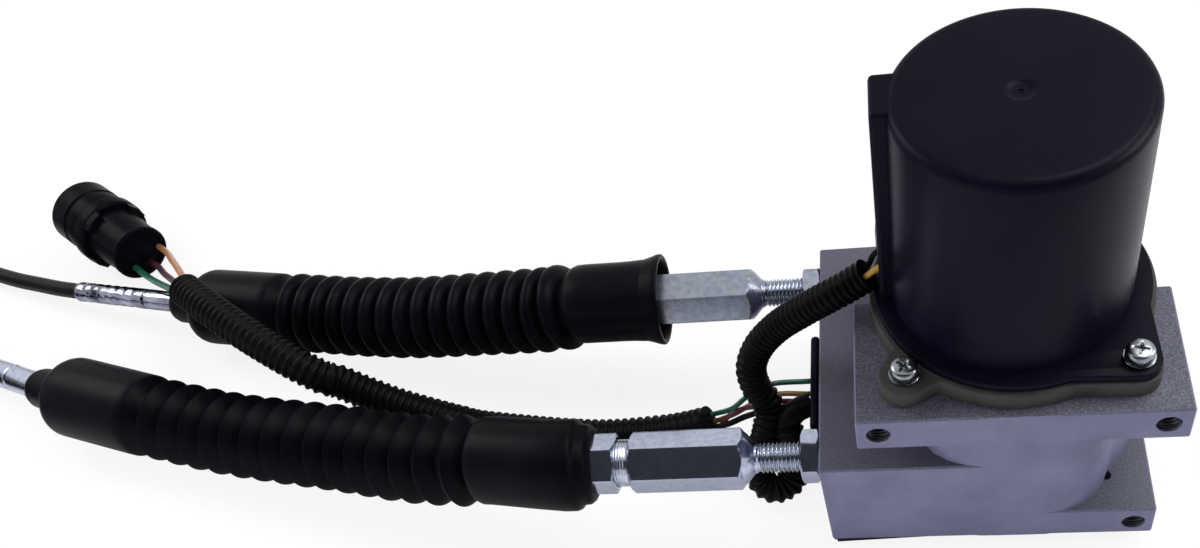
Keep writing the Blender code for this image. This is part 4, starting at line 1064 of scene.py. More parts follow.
@dataclass
class Studio:
    """Camera, floor, lamps and world. Its lengths are in metres."""

    camera_place: Knot = (-0.035417, -0.281705, 0.413861)
    axes: tuple[Knot, Knot, Knot] = ((0.98452, 0.06406, -0.16313), (0.04436, 0.80942, 0.58555),
                                     (0.16955, -0.58373, 0.79405))
    lens: float = 37.253
    shift: Station = (-0.0785, 0.1021)
    floor_half: float = 8.0
    floor_z: float = -0.0004
    floor_white: float = 0.86
    floor_matte: Colour = (0.93, 0.93, 0.93)
    card_centre: Knot = (-0.35, -0.82, 0.88)
    card_up: Knot = (0.0, 0.77, 0.64)
    card_half: Station = (1.25, 0.52)
    card_black: Colour = (0.03, 0.03, 0.035)
    ambient: Colour = (0.27, 0.275, 0.30)
    lamps: tuple[Lamp, ...] = (
        Lamp("top", (0.40, 0.30, 1.00), (-0.05, 0.0, 0.05), 0.6, 7.0),
        Lamp("front", (-0.45, -0.45, 0.20), (-0.05, 0.0, 0.05), 0.4, 2.7, gloss=False),
        Lamp("right", (0.75, 0.05, 0.45), (0.0, 0.0, 0.10), 0.40, 5.0),
        Lamp("left", (-0.85, 0.35, 0.65), (-0.2, 0.0, 0.05), 0.45, 4.5),
    )

    def build(self) -> None:
        """Make everything that isn't the object."""
        self.camera()
        self.floor()
        self.world()
        self.card()
        for lamp in self.lamps:
            lamp.build()
        bpy.context.scene.view_settings.view_transform = "Standard"

    def camera(self) -> None:
        """Place the camera as fitted to the photograph."""
        data = bpy.data.cameras.new("camera")
        data.sensor_width = 36.0
        data.lens = self.lens
        data.shift_x, data.shift_y = self.shift
        data.clip_start = 0.01
        camera = linked("camera", data)
        turn = Matrix(self.axes).transposed()
        camera.matrix_world = Matrix.Translation(self.camera_place) @ turn.to_4x4()
        bpy.context.scene.camera = camera

    def floor(self) -> None:
        """A plain white floor that keeps a soft shadow."""
        mesh = bpy.data.meshes.new("floor")
        half, z = self.floor_half, self.floor_z
        corners = [(-half, -half, z), (half, -half, z), (half, half, z), (-half, half, z)]
        mesh.from_pydata(corners, [], [(0, 1, 2, 3)])
        floor = linked("floor", mesh)
        material = bpy.data.materials.new("floor_white")
        material.use_nodes = True
        tree = material.node_tree
        tree.nodes.clear()
        out = tree.nodes.new("ShaderNodeOutputMaterial")
        matte = tree.nodes.new("ShaderNodeBsdfDiffuse")
        matte.inputs["Color"].default_value = (*self.floor_matte, 1)
        white = tree.nodes.new("ShaderNodeEmission")
        path = tree.nodes.new("ShaderNodeLightPath")
        share = tree.nodes.new("ShaderNodeMath")
        share.operation = "MULTIPLY"
        share.inputs[1].default_value = self.floor_white
        mix = tree.nodes.new("ShaderNodeMixShader")
        tree.links.new(path.outputs["Is Camera Ray"], share.inputs[0])
        tree.links.new(share.outputs["Value"], mix.inputs["Fac"])
        tree.links.new(matte.outputs["BSDF"], mix.inputs[1])
        tree.links.new(white.outputs["Emission"], mix.inputs[2])
        tree.links.new(mix.outputs["Shader"], out.inputs["Surface"])
        mesh.materials.append(material)

    def card(self) -> None:
        """A dark card at the camera's side, which only polished metal and gloss reflect."""
        mesh = bpy.data.meshes.new("dark_card")
        centre, across, up = Vector(self.card_centre), Vector((1, 0, 0)), Vector(self.card_up)
        half_wide, half_high = self.card_half
        corners = [centre + across * (sx * half_wide) + up * (sy * half_high)
                   for sx, sy in ((-1, -1), (1, -1), (1, 1), (-1, 1))]
        mesh.from_pydata(corners, [], [(0, 1, 2, 3)])
        card = linked("dark_card", mesh)
        for ray in ("camera", "diffuse", "shadow", "transmission"):
            setattr(card, f"visible_{ray}", False)
        material = bpy.data.materials.new("card_black")
        material.use_nodes = True
        shader = material.node_tree.nodes["Principled BSDF"]
        shader.inputs["Base Color"].default_value = (*self.card_black, 1)
        shader.inputs["Roughness"].default_value = 0.9
        mesh.materials.append(material)

    def world(self) -> None:
        """White to the camera, to gloss and to glass, and a plain grey light to everything else."""
        world = bpy.data.worlds.new("studio")
        bpy.context.scene.world = world
        world.use_nodes = True
        tree = world.node_tree
        tree.nodes.clear()
        out = tree.nodes.new("ShaderNodeOutputWorld")
        background = tree.nodes.new("ShaderNodeBackground")
        path = tree.nodes.new("ShaderNodeLightPath")
        gloss = tree.nodes.new("ShaderNodeMath")
        gloss.operation = "MAXIMUM"
        tree.links.new(path.outputs["Is Glossy Ray"], gloss.inputs[0])
        tree.links.new(path.outputs["Is Transmission Ray"], gloss.inputs[1])
        seen = tree.nodes.new("ShaderNodeMath")
        seen.operation = "MAXIMUM"
        tree.links.new(path.outputs["Is Camera Ray"], seen.inputs[0])
        tree.links.new(gloss.outputs["Value"], seen.inputs[1])
        shade = tree.nodes.new("ShaderNodeMix")
        shade.data_type = "RGBA"
        shade.inputs["A"].default_value = (*self.ambient, 1)
        shade.inputs["B"].default_value = (1, 1, 1, 1)
        tree.links.new(seen.outputs["Value"], shade.inputs["Factor"])
        tree.links.new(shade.outputs["Result"], background.inputs["Color"])
        tree.links.new(background.outputs["Background"], out.inputs["Surface"])


@dataclass
class MotorCover:
    """The moulded motor cover with its flange, rib and gate mark."""

    shop: FinishShop
    top_r: float = 38.8
    foot_r: float = 39.3
    round_r: float = 3.6
    wall: float = 2.2
    flange_r: float = 45.4
    flange_edge: float = 0.45
    ear_r: float = 7.3
    ear_waist: float = 42.4
    rib: tuple[Station, Station] = ((-43.2, -31.0), (-5.3, 13.5))
    rib_drop: float = 0.6
    rib_edge: float = 1.6
    gate_mark: tuple[Station, ...] = ((0.25, 1.0), (0.9, 0.95), (1.0, 0.55), (1.6, 0.6), (3.4, 0.55),
                                      (4.1, 0.2), (4.4, 0.06), (5.0, 0.02))

    def build(self) -> None:
        """Make the cover as one piece."""
        top, low, flange_top = COVER_TOP, FLANGE_Z, FLANGE_Z + FLANGE_T
        profile = [(r, top - sunk) for r, sunk in self.gate_mark]
        profile += [(r, top) for r in (9.0, 20.0, 30.0)]
        steps = 8
        for i in range(steps + 1):
            a = math.radians(90 - 90 * i / steps)
            profile.append((self.top_r - self.round_r + self.round_r * math.cos(a),
                            top - self.round_r * (1 - math.sin(a))))
        inner, root_r, foot_z = self.foot_r - self.wall, self.foot_r + 0.3, low + 0.2
        profile += [(self.top_r + 0.1, top - 14), (self.foot_r - 0.05, low + 14),
                    (self.foot_r, flange_top + 0.5), (root_r, flange_top - 0.1), (root_r, foot_z),
                    (inner, foot_z), (self.top_r - self.wall, top - self.wall), (0.25, top - self.wall)]
        form = Form()
        form.turned(profile, (0, 0, 0), (0, 0, 1), 160, closed=True)
        shell = form.to_object("motor_cover_moulding", [MOULDED_BLACK], self.shop, 40)
        rib_form = Form()
        (x_low, x_high), (y_low, y_high) = self.rib
        rib_form.block((x_low, y_low, low), (x_high, y_high, top - self.rib_drop))
        rib = rib_form.to_object("rib", [MOULDED_BLACK], self.shop, 40, bevel=self.rib_edge)
        holes = [circle(SCREW_HOLE_R, 32, (-EAR_OFFSET, EAR_OFFSET)),
                 circle(SCREW_HOLE_R, 32, (EAR_OFFSET, -EAR_OFFSET)), circle(inner, 128)]
        outline = eared_outline(self.flange_r, [(ear, self.ear_r, self.ear_waist) for ear in COVER_EARS])
        flange = flat_plate("flange", [outline] + holes, low, flange_top, MOULDED_BLACK, self.shop,
                            self.flange_edge)
        cover = joined("motor_cover_moulding", [shell, evaluated(rib), flange])
        settle(cover, "black_plastic", "motor_cover")


def joined(name: str, parts: Sequence[bpy.types.Object]) -> bpy.types.Object:
    """Make one object of several with the same first material.

    Args:
        name: Name of the result.
        parts: Plain mesh objects, which are removed.

    Returns:
        The joined object.
    """
    mesh = bpy.data.meshes.new(name)
    work = bmesh.new()
    materials: list[bpy.types.Material] = []
    for part in parts:
        start = len(work.faces)
        work.from_mesh(part.data)
        work.faces.ensure_lookup_table()
        index = []
        for material in part.data.materials:
            if material not in materials:
                materials.append(material)
            index.append(materials.index(material))
        for face in work.faces[start:]:
            face.material_index = index[face.material_index]
        bpy.data.objects.remove(part, do_unlink=True)
    work.to_mesh(mesh)
    work.free()
    for material in materials:
        mesh.materials.append(material)
    obj = linked(name, mesh)
    return obj


@dataclass
class Adaptor:
    """The eared plate between the housing and the motor."""

    shop: FinishShop
    radius: float = 47.0
    waist: float = 22.0
    ear_r: float = 8.6
    covered_waist: float = 43.0
    covered_ear_r: float = 7.8
    bore_r: float = 12.0
    edge: float = 0.6

    def build(self) -> None:
        """Make the plate."""
        holes = [circle(SCREW_HOLE_R, 32, (sx * EAR_OFFSET, sy * EAR_OFFSET)) for sx in (-1, 1)
                 for sy in (-1, 1)]
        free = [(ear, self.ear_r, self.waist) for ear in ADAPTOR_EARS]
        covered = [(ear, self.covered_ear_r, self.covered_waist) for ear in COVER_EARS]
        outline = eared_outline(self.radius, free + covered)
        plate = flat_plate("adaptor_plate", [outline, circle(self.bore_r)] + holes, ADAPTOR_Z,
                           ADAPTOR_Z + ADAPTOR_T, ADAPTOR_METAL, self.shop, self.edge)
        settle(plate, "adaptor_grey", "motor_adaptor")


@dataclass
class PanScrews:
    """Four cross-recessed pan screws, each with a spring washer and a flat washer."""

    shop: FinishShop
    trees: ShapeTrees
    head_r: float = 4.6
    head_h: float = 3.0
    crown_wide: float = 1.7
    crown_high: float = 1.75
    crown_drop: float = 1.9
    shank_r: float = 2.4
    washer_r: float = 5.1
    washer_t: float = 0.9
    washer_edge: float = 0.15
    spring_r: float = 4.6
    spring_t: float = 0.82
    spring_rise: float = 0.22
    split: float = 6.0
    recess_r: float = 2.5
    recess_half: float = 0.5
    recess_depth: float = 1.7
    floor_r: float = 0.7
    floor_half: float = 0.3
    seat_gap: float = 2.2
    washer_gap: float = 0.2
    reach: float = 17.0

    def build(self) -> None:
        """Make one screw and set its copies at the four corners."""
        screw = joined("screw", [self.head(), self.washers()])
        ear, flange = ADAPTOR_Z + ADAPTOR_T, FLANGE_Z + FLANGE_T
        places = {"adaptor_screw_front": (-1, -1, ear, 58), "cover_screw_rear": (-1, 1, flange, 10),
                  "cover_screw_front": (1, -1, flange, 75), "adaptor_screw_rear": (1, 1, ear, 33)}
        mesh = bpy.data.meshes.new("pan_screw_set")
        spots = [Vector((sx * EAR_OFFSET, sy * EAR_OFFSET, z)) * MM for sx, sy, z, _ in places.values()]
        mesh.from_pydata(spots, [], [])
        turns = mesh.attributes.new("turn", "FLOAT", "POINT")
        for i, (_, _, _, turn) in enumerate(places.values()):
            turns.data[i].value = math.radians(turn)
        points = linked("pan_screw_set", mesh)
        copies = self.trees.screws.grow(points, {"Screw": screw, "Material": self.shop.get(SCREW_ZINC)})
        bpy.data.objects.remove(screw, do_unlink=True)
        settle(copies, "zinc_steel", *places)

    def head(self) -> bpy.types.Object:
        """The pan head with its cross recess, whose foot is one seat gap above height 0.

        Returns:
            The head.
        """
        form = Form()
        profile = [(0.05, self.head_h), (1.6, self.head_h - 0.03)]
        steps = 6
        for i in range(steps + 1):
            a = math.radians(80 - 80 * i / steps)
            profile.append((self.head_r - self.crown_wide * (1 - math.cos(a)),
                            self.head_h - self.crown_drop + self.crown_high * math.sin(a)))
        profile += [(self.head_r, 0.15), (self.head_r - 0.2, 0.0), (0.05, 0.0)]
        form.turned(profile, (0, 0, 0), (0, 0, 1), 64)
        head = form.to_object("head", [BRIGHT_ZINC], self.shop, 40)
        for k in range(2):
            tool = Form()
            rings = []
            for z, reach, half in ((self.head_h - self.recess_depth, self.floor_r, self.floor_half),
                                   (self.head_h + 0.5, self.recess_r, self.recess_half)):
                corners = [(-reach, -half), (reach, -half), (reach, half), (-reach, half)]
                rings.append([Vector((y if k else x, x if k else y, z)) for x, y in corners])
            tool.loft(rings)
            head = cut(head, tool.to_object("recess", [BRIGHT_ZINC], self.shop))
        head.data.transform(Matrix.Translation(UP * self.seat_gap * MM))
        return head

    def washers(self) -> bpy.types.Object:
        """Flat washer, split spring washer and shank, with the seat at height 0.

        Returns:
            The three as one object.
        """
        form = Form()
        inner, edge, low = self.shank_r + 0.3, self.washer_edge, self.washer_gap
        high = low + self.washer_t
        form.turned([(inner, low), (self.washer_r - edge, low), (self.washer_r, low + edge),
                     (self.washer_r, high - edge), (self.washer_r - edge, high), (inner, high)],
                    (0, 0, 0), (0, 0, 1), 64, closed=True)
        rings = []
        steps, inner = 48, self.shank_r + 0.2
        for i in range(steps + 1):
            a = math.radians(self.split + (360 - 2 * self.split) * i / steps)
            lift = high + 0.05 + self.spring_rise * i / steps
            corners = ((inner, 0), (self.spring_r, 0), (self.spring_r, self.spring_t), (inner, self.spring_t))
            rings.append([Vector((r * math.cos(a), r * math.sin(a), lift + h)) for r, h in corners])
        form.loft(rings)
        top = low + 2.0
        form.turned([(0.05, top), (self.shank_r, top), (self.shank_r, -self.reach), (0.05, -self.reach)],
                    (0, 0, 0), (0, 0, 1), 32)
        return form.to_object("washers", [BRIGHT_ZINC], self.shop, 35)


@dataclass
class CableAdjuster:
    """Lock nut, threaded hexagonal adjuster and boot nut of one cable."""

    shop: FinishShop
    trees: ShapeTrees
    name: str
    y: float
    turn: float
    thread_in: float = -12.0
    thread_r: float = 5.5
    thread_depth: float = 0.75
    pitch: float = 1.5
    gap: float = 0.2
    nut_af: float = 17.0
    nut_t: float = 6.5
    cone_start: float = 22.0
    cone_share: float = 0.94
    hex_start: float = 27.4
    hex_end: float = 68.8
    hex_af: float = 19.8
    hex_slope: float = 1.3
    neck_r: float = 8.7
    neck_depth: float = 0.16
    neck_pitch: float = 1.0
    boot_nut: Station = (73.8, 82.8)
    spigot: Station = (83.0, 93.0)
    spigot_r: float = 11.2
    spigot_edge: float = 0.3
    sides: int = 96
    finish: Finish = BRIGHT_ZINC

    def centre(self, out: float) -> Vector:
        """Point on the cable's axis at a distance from the housing's face."""
        return Vector((BLOCK_LEFT_X - out, self.y, CABLE_Z))

    def ring(self, out: float, radius: Callable[[float], float] | float) -> list[Vector]:
        """A ring round the cable's axis.

        Args:
            out: Its distance from the housing's face.
            radius: Radius in mm, or a function of the angle that gives it.

        Returns:
            The points in order.
        """
        centre = self.centre(out)
        points = []
        for k in range(self.sides):
            a = 2 * math.pi * k / self.sides + self.turn
            r = radius(a) if callable(radius) else radius
            points.append(centre + Vector((0, -r * math.cos(a), r * math.sin(a))))
        return points

    def hexagon(self, across_flats: float, limit: float) -> Callable[[float], float]:
        """Radius of a hexagon as a function of the angle, held inside a circle.

        Args:
            across_flats: Its size.
            limit: Radius of the circle that a chamfer leaves.

        Returns:
            The function.
        """
        def radius(angle: float) -> float:
            """Distance to the hexagon's side.

            Args:
                angle: Direction from the axis.

            Returns:
                The distance.
            """
            off = (angle - self.turn) % (math.pi / 3)
            off = min(off, math.pi / 3 - off)
            return min(across_flats / 2 / math.cos(off), limit)
        return radius

    def hex_rings(self, low: float, high: float, across_flats: float,
                  slope: float = 1.9) -> list[list[Vector]]:
        """Rings of a hexagonal prism with chamfered ends.

        Args:
            low: Where it begins, as a distance from the housing's face.
            high: Where it ends.
            across_flats: Its size.
            slope: Growth of a chamfer's radius for each mm along the axis.

        Returns:
            The rings in order.
        """
        inner = across_flats / 2 * 0.975
        full = across_flats / 2 / math.cos(math.pi / 6) - 0.12
        steps = 6
        depths = [(full - inner) / slope * i / steps for i in range(steps + 1)]
        rings = []
        for depth in depths:
            rings.append(self.ring(low + depth, self.hexagon(across_flats, inner + slope * depth)))
        for depth in reversed(depths):
            rings.append(self.ring(high - depth, self.hexagon(across_flats, inner + slope * depth)))
        return rings

    def nut(self, kind: str, low: float, high: float, across_flats: float, bore_r: float) -> None:
        """Make one nut with chamfered ends.

        Args:
            kind: What it is, which begins its name and its node's name.
            low: Where it begins, as a distance from the housing's face.
            high: Where it ends.
            across_flats: Its size.
            bore_r: Radius of its bore.
        """
        form = Form()
        form.loft([self.ring(low, bore_r)] + self.hex_rings(low, high, across_flats)
                  + [self.ring(high, bore_r)], closed=True)
        settle(form.to_object(f"{kind}_{self.name}_chamfered", [self.finish], self.shop, 24), "zinc_steel",
               f"{kind}_{self.name}")

    def body(self) -> bpy.types.Object:
        """The adjuster's cone and hexagon, and the spigot that the boot sits on.

        Returns:
            The solid without its threads.
        """
        form = Form()
        cone, end = self.cone_start, self.hex_end
        form.loft([self.ring(cone - 0.1, 0.1), self.ring(cone - 0.1, self.thread_r - 0.5),
                   self.ring(cone + 0.6, self.thread_r), self.ring(cone + 1.2, self.thread_r + 0.1),
                   self.ring(self.hex_start - 0.9, self.hex_af / 2 * self.cone_share)]
                  + self.hex_rings(self.hex_start - 0.3, end, self.hex_af, self.hex_slope)
                  + [self.ring(end + 0.02, self.neck_r), self.ring(end + 0.3, self.neck_r - 0.4),
                     self.ring(end + 0.5, 0.1)])
        low, high = self.spigot
        edge = self.spigot_edge
        form.loft([self.ring(low, self.spigot_r - edge), self.ring(low + edge, self.spigot_r),
                   self.ring(high - edge, self.spigot_r), self.ring(high, self.spigot_r - edge)])
        return form.to_object("adjuster_body", [self.finish], self.shop, 24)

    def build(self) -> None:
        """Make the three pieces and their places."""
        self.nut("lock_nut", self.gap, self.gap + self.nut_t, self.nut_af, self.thread_r + self.gap)
        solid = self.body()
        out = Vector((-1, 0, 0))
        rod = thread_piece("rod_thread", self.centre(self.thread_in), out,
                           self.cone_start + 0.3 - self.thread_in, self.thread_r, self.thread_depth,
                           self.pitch, THREAD_ZINC, self.shop, self.trees)
        neck = thread_piece("neck_thread", self.centre(self.hex_end + 0.4), out,
                            self.spigot[0] - self.hex_end, self.neck_r, self.neck_depth, self.neck_pitch,
                            THREAD_ZINC, self.shop, self.trees)
        settle(joined(f"adjuster_{self.name}_threaded", [solid, rod, neck]), "zinc_steel",
               f"adjuster_{self.name}")
        self.nut("boot_nut", *self.boot_nut, self.hex_af, self.neck_r + self.gap)


class Fold(Enum):
    """Shape of a boot's folds, as the power that bends their flanks."""

    SHARP_CREST = 1.25
    ROUND_CREST = 2.2


@dataclass
class Boot:
    """A rubber bellows boot on its route."""

    shop: FinishShop
    trees: ShapeTrees
    name: str
    knots: Sequence[Knot]
    lip_r: float
    near_r: float
    far_r: float
    folds: int
    folds_from_x: float
    folds_to_x: float
    far_to_x: float
    fold_shape: Fold
    crest_r: float = 17.7
    root_r: float = 12.2
    nipple_r: float = 9.3
    nipple_short: float = 7.4
    end_from: float = 9.0
    end_reach: float = 8.0
    flared: bool = False
    mouth_depth: float = 6.0
    lip_wall: float = 2.2
    seat: tuple[Station, ...] = ((-3.2, 10.6), (-2.8, 12.4), (-2.0, 13.9), (-0.8, 14.8), (1.4, 15.0),
                                 (2.2, 15.5))
    sides: int = 72

    def radius(self, phase: float) -> float:
        """Radius of a fold at a phase from 0 to 1, with roots at both ends."""
        height = 1 - abs(2 * phase - 1) ** self.fold_shape.value
        return self.root_r + (self.crest_r - self.root_r) * height

    def stations(self, route: Route) -> list[Station]:
        """Distances along the route with the outer radius at each.

        Args:
            route: The boot's centre line.

        Returns:
            The pairs in order.
        """
        start, stop = route.at_x(self.folds_from_x), route.at_x(self.folds_to_x)
        far = route.at_x(self.far_to_x)
        near_r, far_r, lip_r = self.near_r, self.far_r, self.lip_r
        if self.flared:
            outer = [(self.mouth_depth, near_r + 0.5), (9.0, near_r + 0.35), (13.0, near_r + 0.1)]
        else:
            outer = [*self.seat, (3.0, lip_r - 0.5), (4.2, lip_r), (8.0, lip_r)]
        outer += [(17.0, near_r), (start - 8, near_r), (start - 4.6, near_r - 0.05),
                  (start - 3.6, near_r - 0.5), (start - 0.6, self.root_r + 0.3)]
        pitch, steps = (stop - start) / self.folds, 12
        for fold in range(self.folds):
            for part in range(steps):
                phase = part / steps
                outer.append((start + (fold + phase) * pitch, self.radius(phase)))
        end = far - self.end_from
        outer += [(stop, self.root_r), (stop + 0.8, self.root_r + 0.4), (stop + 4.4, far_r - 0.6),
                  (stop + 5.4, far_r - 0.05), (stop + 9, far_r), (end, far_r)]
        drop, steps = far_r - self.nipple_r - 1.2, 8
        for i in range(1, steps):
            a = math.radians(90 * i / steps)
            outer.append((end + self.end_reach * math.sin(a), far_r - drop * (1 - math.cos(a))))
        tip = route.length - self.nipple_short
        outer += [(far - 0.4, self.nipple_r + 0.9), (far + 0.4, self.nipple_r + 0.2),
                  (far + 1.5, self.nipple_r), (tip - 2.5, self.nipple_r - 0.1),
                  (tip - 0.7, self.nipple_r - 0.7), (tip, self.nipple_r - 1.6)]
        return outer

    def build(self) -> None:
        """Make the boot along its route."""
        route = Route(self.knots)
        boot = run_piece(f"bellows_boot_{self.name}", route, self.stations(route), RUBBER_BLACK, self.shop,
                         self.trees, self.sides)
        if self.flared:
            boot = joined(boot.name, [boot, self.mouth()])
        settle(boot, "black_rubber", f"boot_{self.name}")

    def mouth(self) -> bpy.types.Object:
        """The flared lip round the open mouth.

        Returns:
            The lip.
        """
        deep = self.mouth_depth + 0.4
        lip_r, near_r, inside = self.lip_r, self.near_r, self.lip_r - self.lip_wall
        form = Form()
        form.turned([(inside - 1.5, deep), (inside - 0.4, 1.8), (inside, 0.5), (inside + 0.5, 0.0),
                     (lip_r - 0.6, 0.0), (lip_r - 0.1, 0.4), (lip_r, 1.0), (lip_r - 0.25, 2.4),
                     (lip_r - 0.9, 4.2), (near_r + 0.7, deep), (near_r + 0.2, deep + 1.6),
                     (near_r - 0.6, deep + 1.6)], self.knots[0], (-1, 0, 0), self.sides, closed=True)
        return form.to_object("boot_mouth", [RUBBER_BLACK], self.shop, 50)


@dataclass
class ControlCable:
    """Crimped ferrule and the black conduit with its coil and end fitting."""

    shop: FinishShop
    trees: ShapeTrees
    name: str
    boot_end: Knot
    heading: Knot
    conduit: Sequence[Knot]
    coil: Station
    ferrule_r: float
    crimps: bool
    conduit_r: float = 3.8
    coil_r: float = 40.0
    coil_top: float = 39.1
    pitch: float = 7.8
    turns: int = 4
    leave_at: float = 50.0
    ferrule_len: float = 58.5
    ferrule_in: float = 13.0
    groove_at: float = 14.0
    groove_half: float = 0.7
    groove_depth: float = 0.75
    crimp_from: float = 8.0
    crimp_pitch: float = 5.2
    crimp_count: int = 7
    crimp_half: float = 1.5
    crimp_depth: float = 0.42
    sleeve_off: Station = (6.4, 37.6)
    sleeve_r: float = 4.5
    sleeve_in_r: float = 3.9
    sleeve_len: float = 42.0
    eye_r: float = 5.0
    gap: float = 0.2
    sample: float = 2.0

    def ferrule(self) -> None:
        """The bright ferrule that the boot grips."""
        along = Vector(self.heading).normalized()
        start = Vector(self.boot_end) - along * self.ferrule_in
        length = self.ferrule_len + self.ferrule_in
        r = self.ferrule_r
        route = Route([tuple(start + along * length * i / 4) for i in range(5)])
        stations = [(0.0, 0.1), (0.0, r - 0.4), (0.5, r)]
        groove = self.ferrule_in + self.groove_at
        first = groove + self.crimp_from
        dents = [first + self.crimp_pitch * k for k in range(self.crimp_count)] if self.crimps else []
        at = 1.0
        while at < length - 2:
            depth = self.groove_depth * max(0.0, 1 - abs(at - groove) / self.groove_half)
            stations.append((at, r - depth))
            at += 0.5
        stations += [(length - 1.2, r), (length - 0.4, r - 0.3), (length, r - 0.9), (length, 0.1)]
        form = Form()

        def shaped(at: float, radius: float) -> Callable[[float], float]:
            """Radius round the ferrule, pressed in where the crimping tool bit.

            Args:
                at: Distance along the ferrule.
                radius: Its full radius there.

            Returns:
                The radius as a function of the angle.
            """
            def pressed(angle: float) -> float:
                """Radius at this angle."""
                bite = sum(math.exp(-((at - dent) / self.crimp_half) ** 2) for dent in dents)
                return radius - self.crimp_depth * bite * (0.55 + 0.45 * math.cos(3 * angle + at * 0.21))
            return pressed
        form.loft([route.ring(at, shaped(at, radius) if radius > 1 else radius, 64)
                   for at, radius in stations])
        finish = CRIMPED_ZINC_PAINTED_SHADE if self.crimps else BRIGHT_ZINC
        settle(form.to_object(f"ferrule_{self.name}_crimped", [finish], self.shop, 40), "zinc_steel",
               f"ferrule_{self.name}")

    def path(self) -> list[Vector]:
        """The conduit's centre line from the ferrule to the end sleeve.

        Returns:
            Points of the line in mm.
        """
        knots = [Vector(knot) for knot in self.conduit]
        centre = Vector((*self.coil, 0))
        first = knots[-1] - centre
        start_angle, start_r = math.atan2(first.y, first.x), math.hypot(first.x, first.y)
        floor = knots[-1].z
        last = math.radians(self.leave_at) + 2 * math.pi * self.turns
        steps = 24 * self.turns
        blend, flat, rise_from, rise = 0.22, 0.1, 0.93, 3.2
        for i in range(1, steps + 1):
            share = i / steps
            angle = start_angle + (last - start_angle) * share
            turned = (angle - start_angle) / (2 * math.pi)
            eased = min(1.0, turned / blend)
            eased = eased * eased * (3 - 2 * eased)
            radius = start_r + (self.coil_r - start_r) * eased
            lifted = min(max((share - rise_from) / (1 - rise_from), 0.0), 1.0)
            z = floor + self.pitch * max(turned - flat, 0.0) + rise * lifted * lifted
            knots.append(centre + Vector((radius * math.cos(angle), radius * math.sin(angle), z)))
        sleeve = Vector(self.sleeve_start())
        knots.append(sleeve + Vector((10.5, -2.0, -1.3)))
        knots.append(sleeve + Vector((0.4, 0, 0)))
        return Route([tuple(knot) for knot in knots], self.sample).samples

    def sleeve_start(self) -> Knot:
        """Where the end sleeve begins, high enough for the rod's eye to clear the coil."""
        return (self.coil[0] + self.sleeve_off[0], self.coil[1] + self.sleeve_off[1],
                self.coil_top + self.gap + self.eye_r)

    def end_fitting(self) -> list[bpy.types.Object]:
        """The crimped sleeve and the threaded rod with its eye.

        Returns:
            The two pieces.
        """
        start = self.sleeve_start()
        sleeve = Form()
        r, pressed, length = self.sleeve_r, self.sleeve_in_r, self.sleeve_len
        profile = [(0.1, 0.0), (pressed, 0.0), (r, 0.7)]
        for k in range(5):
            mid = 8 + 6 * k
            profile += [(r, mid - 1.6), (pressed, mid - 0.9), (pressed, mid + 0.9), (r, mid + 1.6)]
        profile += [(r, length - 0.8), (pressed, length), (0.1, length)]
        sleeve.turned(profile, start, (-1, 0, 0), 40)
        rod = Form()
        rod_start = (start[0] - length - self.gap, start[1], start[2])
        root_r, crest_r, pitch, threads = 1.7, 2.0, 0.8, 24
        rod_profile = [(0.1, 0.0), (root_r, 0.0)]
        for k in range(threads):
            rod_profile += [(root_r, 0.6 + pitch * k), (crest_r, 1.0 + pitch * k)]
        rod_profile += [(1.9, 19.6), (3.0, 20.0), (self.eye_r, 22.0), (self.eye_r, 28.0), (3.0, 30.0),
                        (0.1, 30.0)]
        rod.turned(rod_profile, rod_start, (-1, 0, 0), 32)
        pieces = [sleeve.to_object(f"end_sleeve_{self.name}_crimped", [BRIGHT_ZINC], self.shop, 40),
                  rod.to_object(f"end_rod_{self.name}_threaded", [GROUND_STEEL], self.shop, 30)]
        settle(pieces[0], "zinc_steel", f"end_sleeve_{self.name}")
        settle(pieces[1], "plain_steel", f"end_rod_{self.name}")
        return pieces

    def build(self) -> None:
        """Make the ferrule, the conduit and its end."""
        self.ferrule()
        fittings = self.end_fitting()
        route = Route([tuple(point) for point in self.path()], self.sample)
        stations = [(i * route.step, self.conduit_r) for i in range(len(route.samples))]
        conduit = run_piece(f"conduit_{self.name}_coiled", route, stations, CONDUIT_BLACK, self.shop,
                            self.trees, sides=24)
        settle(conduit, "black_rubber", f"conduit_{self.name}", f"conduit_coil_{self.name}")


# Centre lines of the boots, conduits, looms and wires
FRONT_BOOT = [
    (-152.5, -37.5, 42.6), (-158, -37.5, 42.6), (-163.5, -37.5, 42.6), (-168, -36.9, 42.3),
    (-173.5, -34.9, 41.3), (-184.2, -32.5, 39.5), (-197.0, -30.5, 37.3), (-210.2, -28.4, 35.0),
    (-231.1, -23.5, 31.0), (-260.4, -14.8, 26.0), (-295.5, -6.0, 21.5), (-321.4, 0.6, 19.2),
    (-353.2, 9.6, 18.4), (-377.6, 16.9, 18.3), (-394.3, 22.1, 18.3), (-414.3, 28.6, 17.6),
    (-429.4, 35.4, 14.8),
]
REAR_BOOT = [
    (-130, 40.3, 42.6), (-141, 40.3, 42.6), (-152, 40.3, 42.6), (-162, 40.3, 42.6),
    (-169.5, 41.2, 40.9), (-179.2, 42.4, 38.0), (-207.7, 47.3, 32.0), (-227.2, 50.2, 28.5),
    (-246.4, 53.5, 25.0), (-273.4, 59.4, 21.0), (-297.2, 64.6, 18.8), (-320.9, 69.2, 17.8),
    (-344.6, 73.0, 17.5), (-352.7, 74.5, 17.5), (-361.2, 76.5, 17.2), (-375.4, 80.8, 15.0),
]
FRONT_CONDUIT = [
    (-482.6, 59.2, 6.4), (-493, 63.2, 4.9), (-504, 66.0, 4.0), (-515, 67.2, 3.9), (-526, 67.2, 3.9),
]
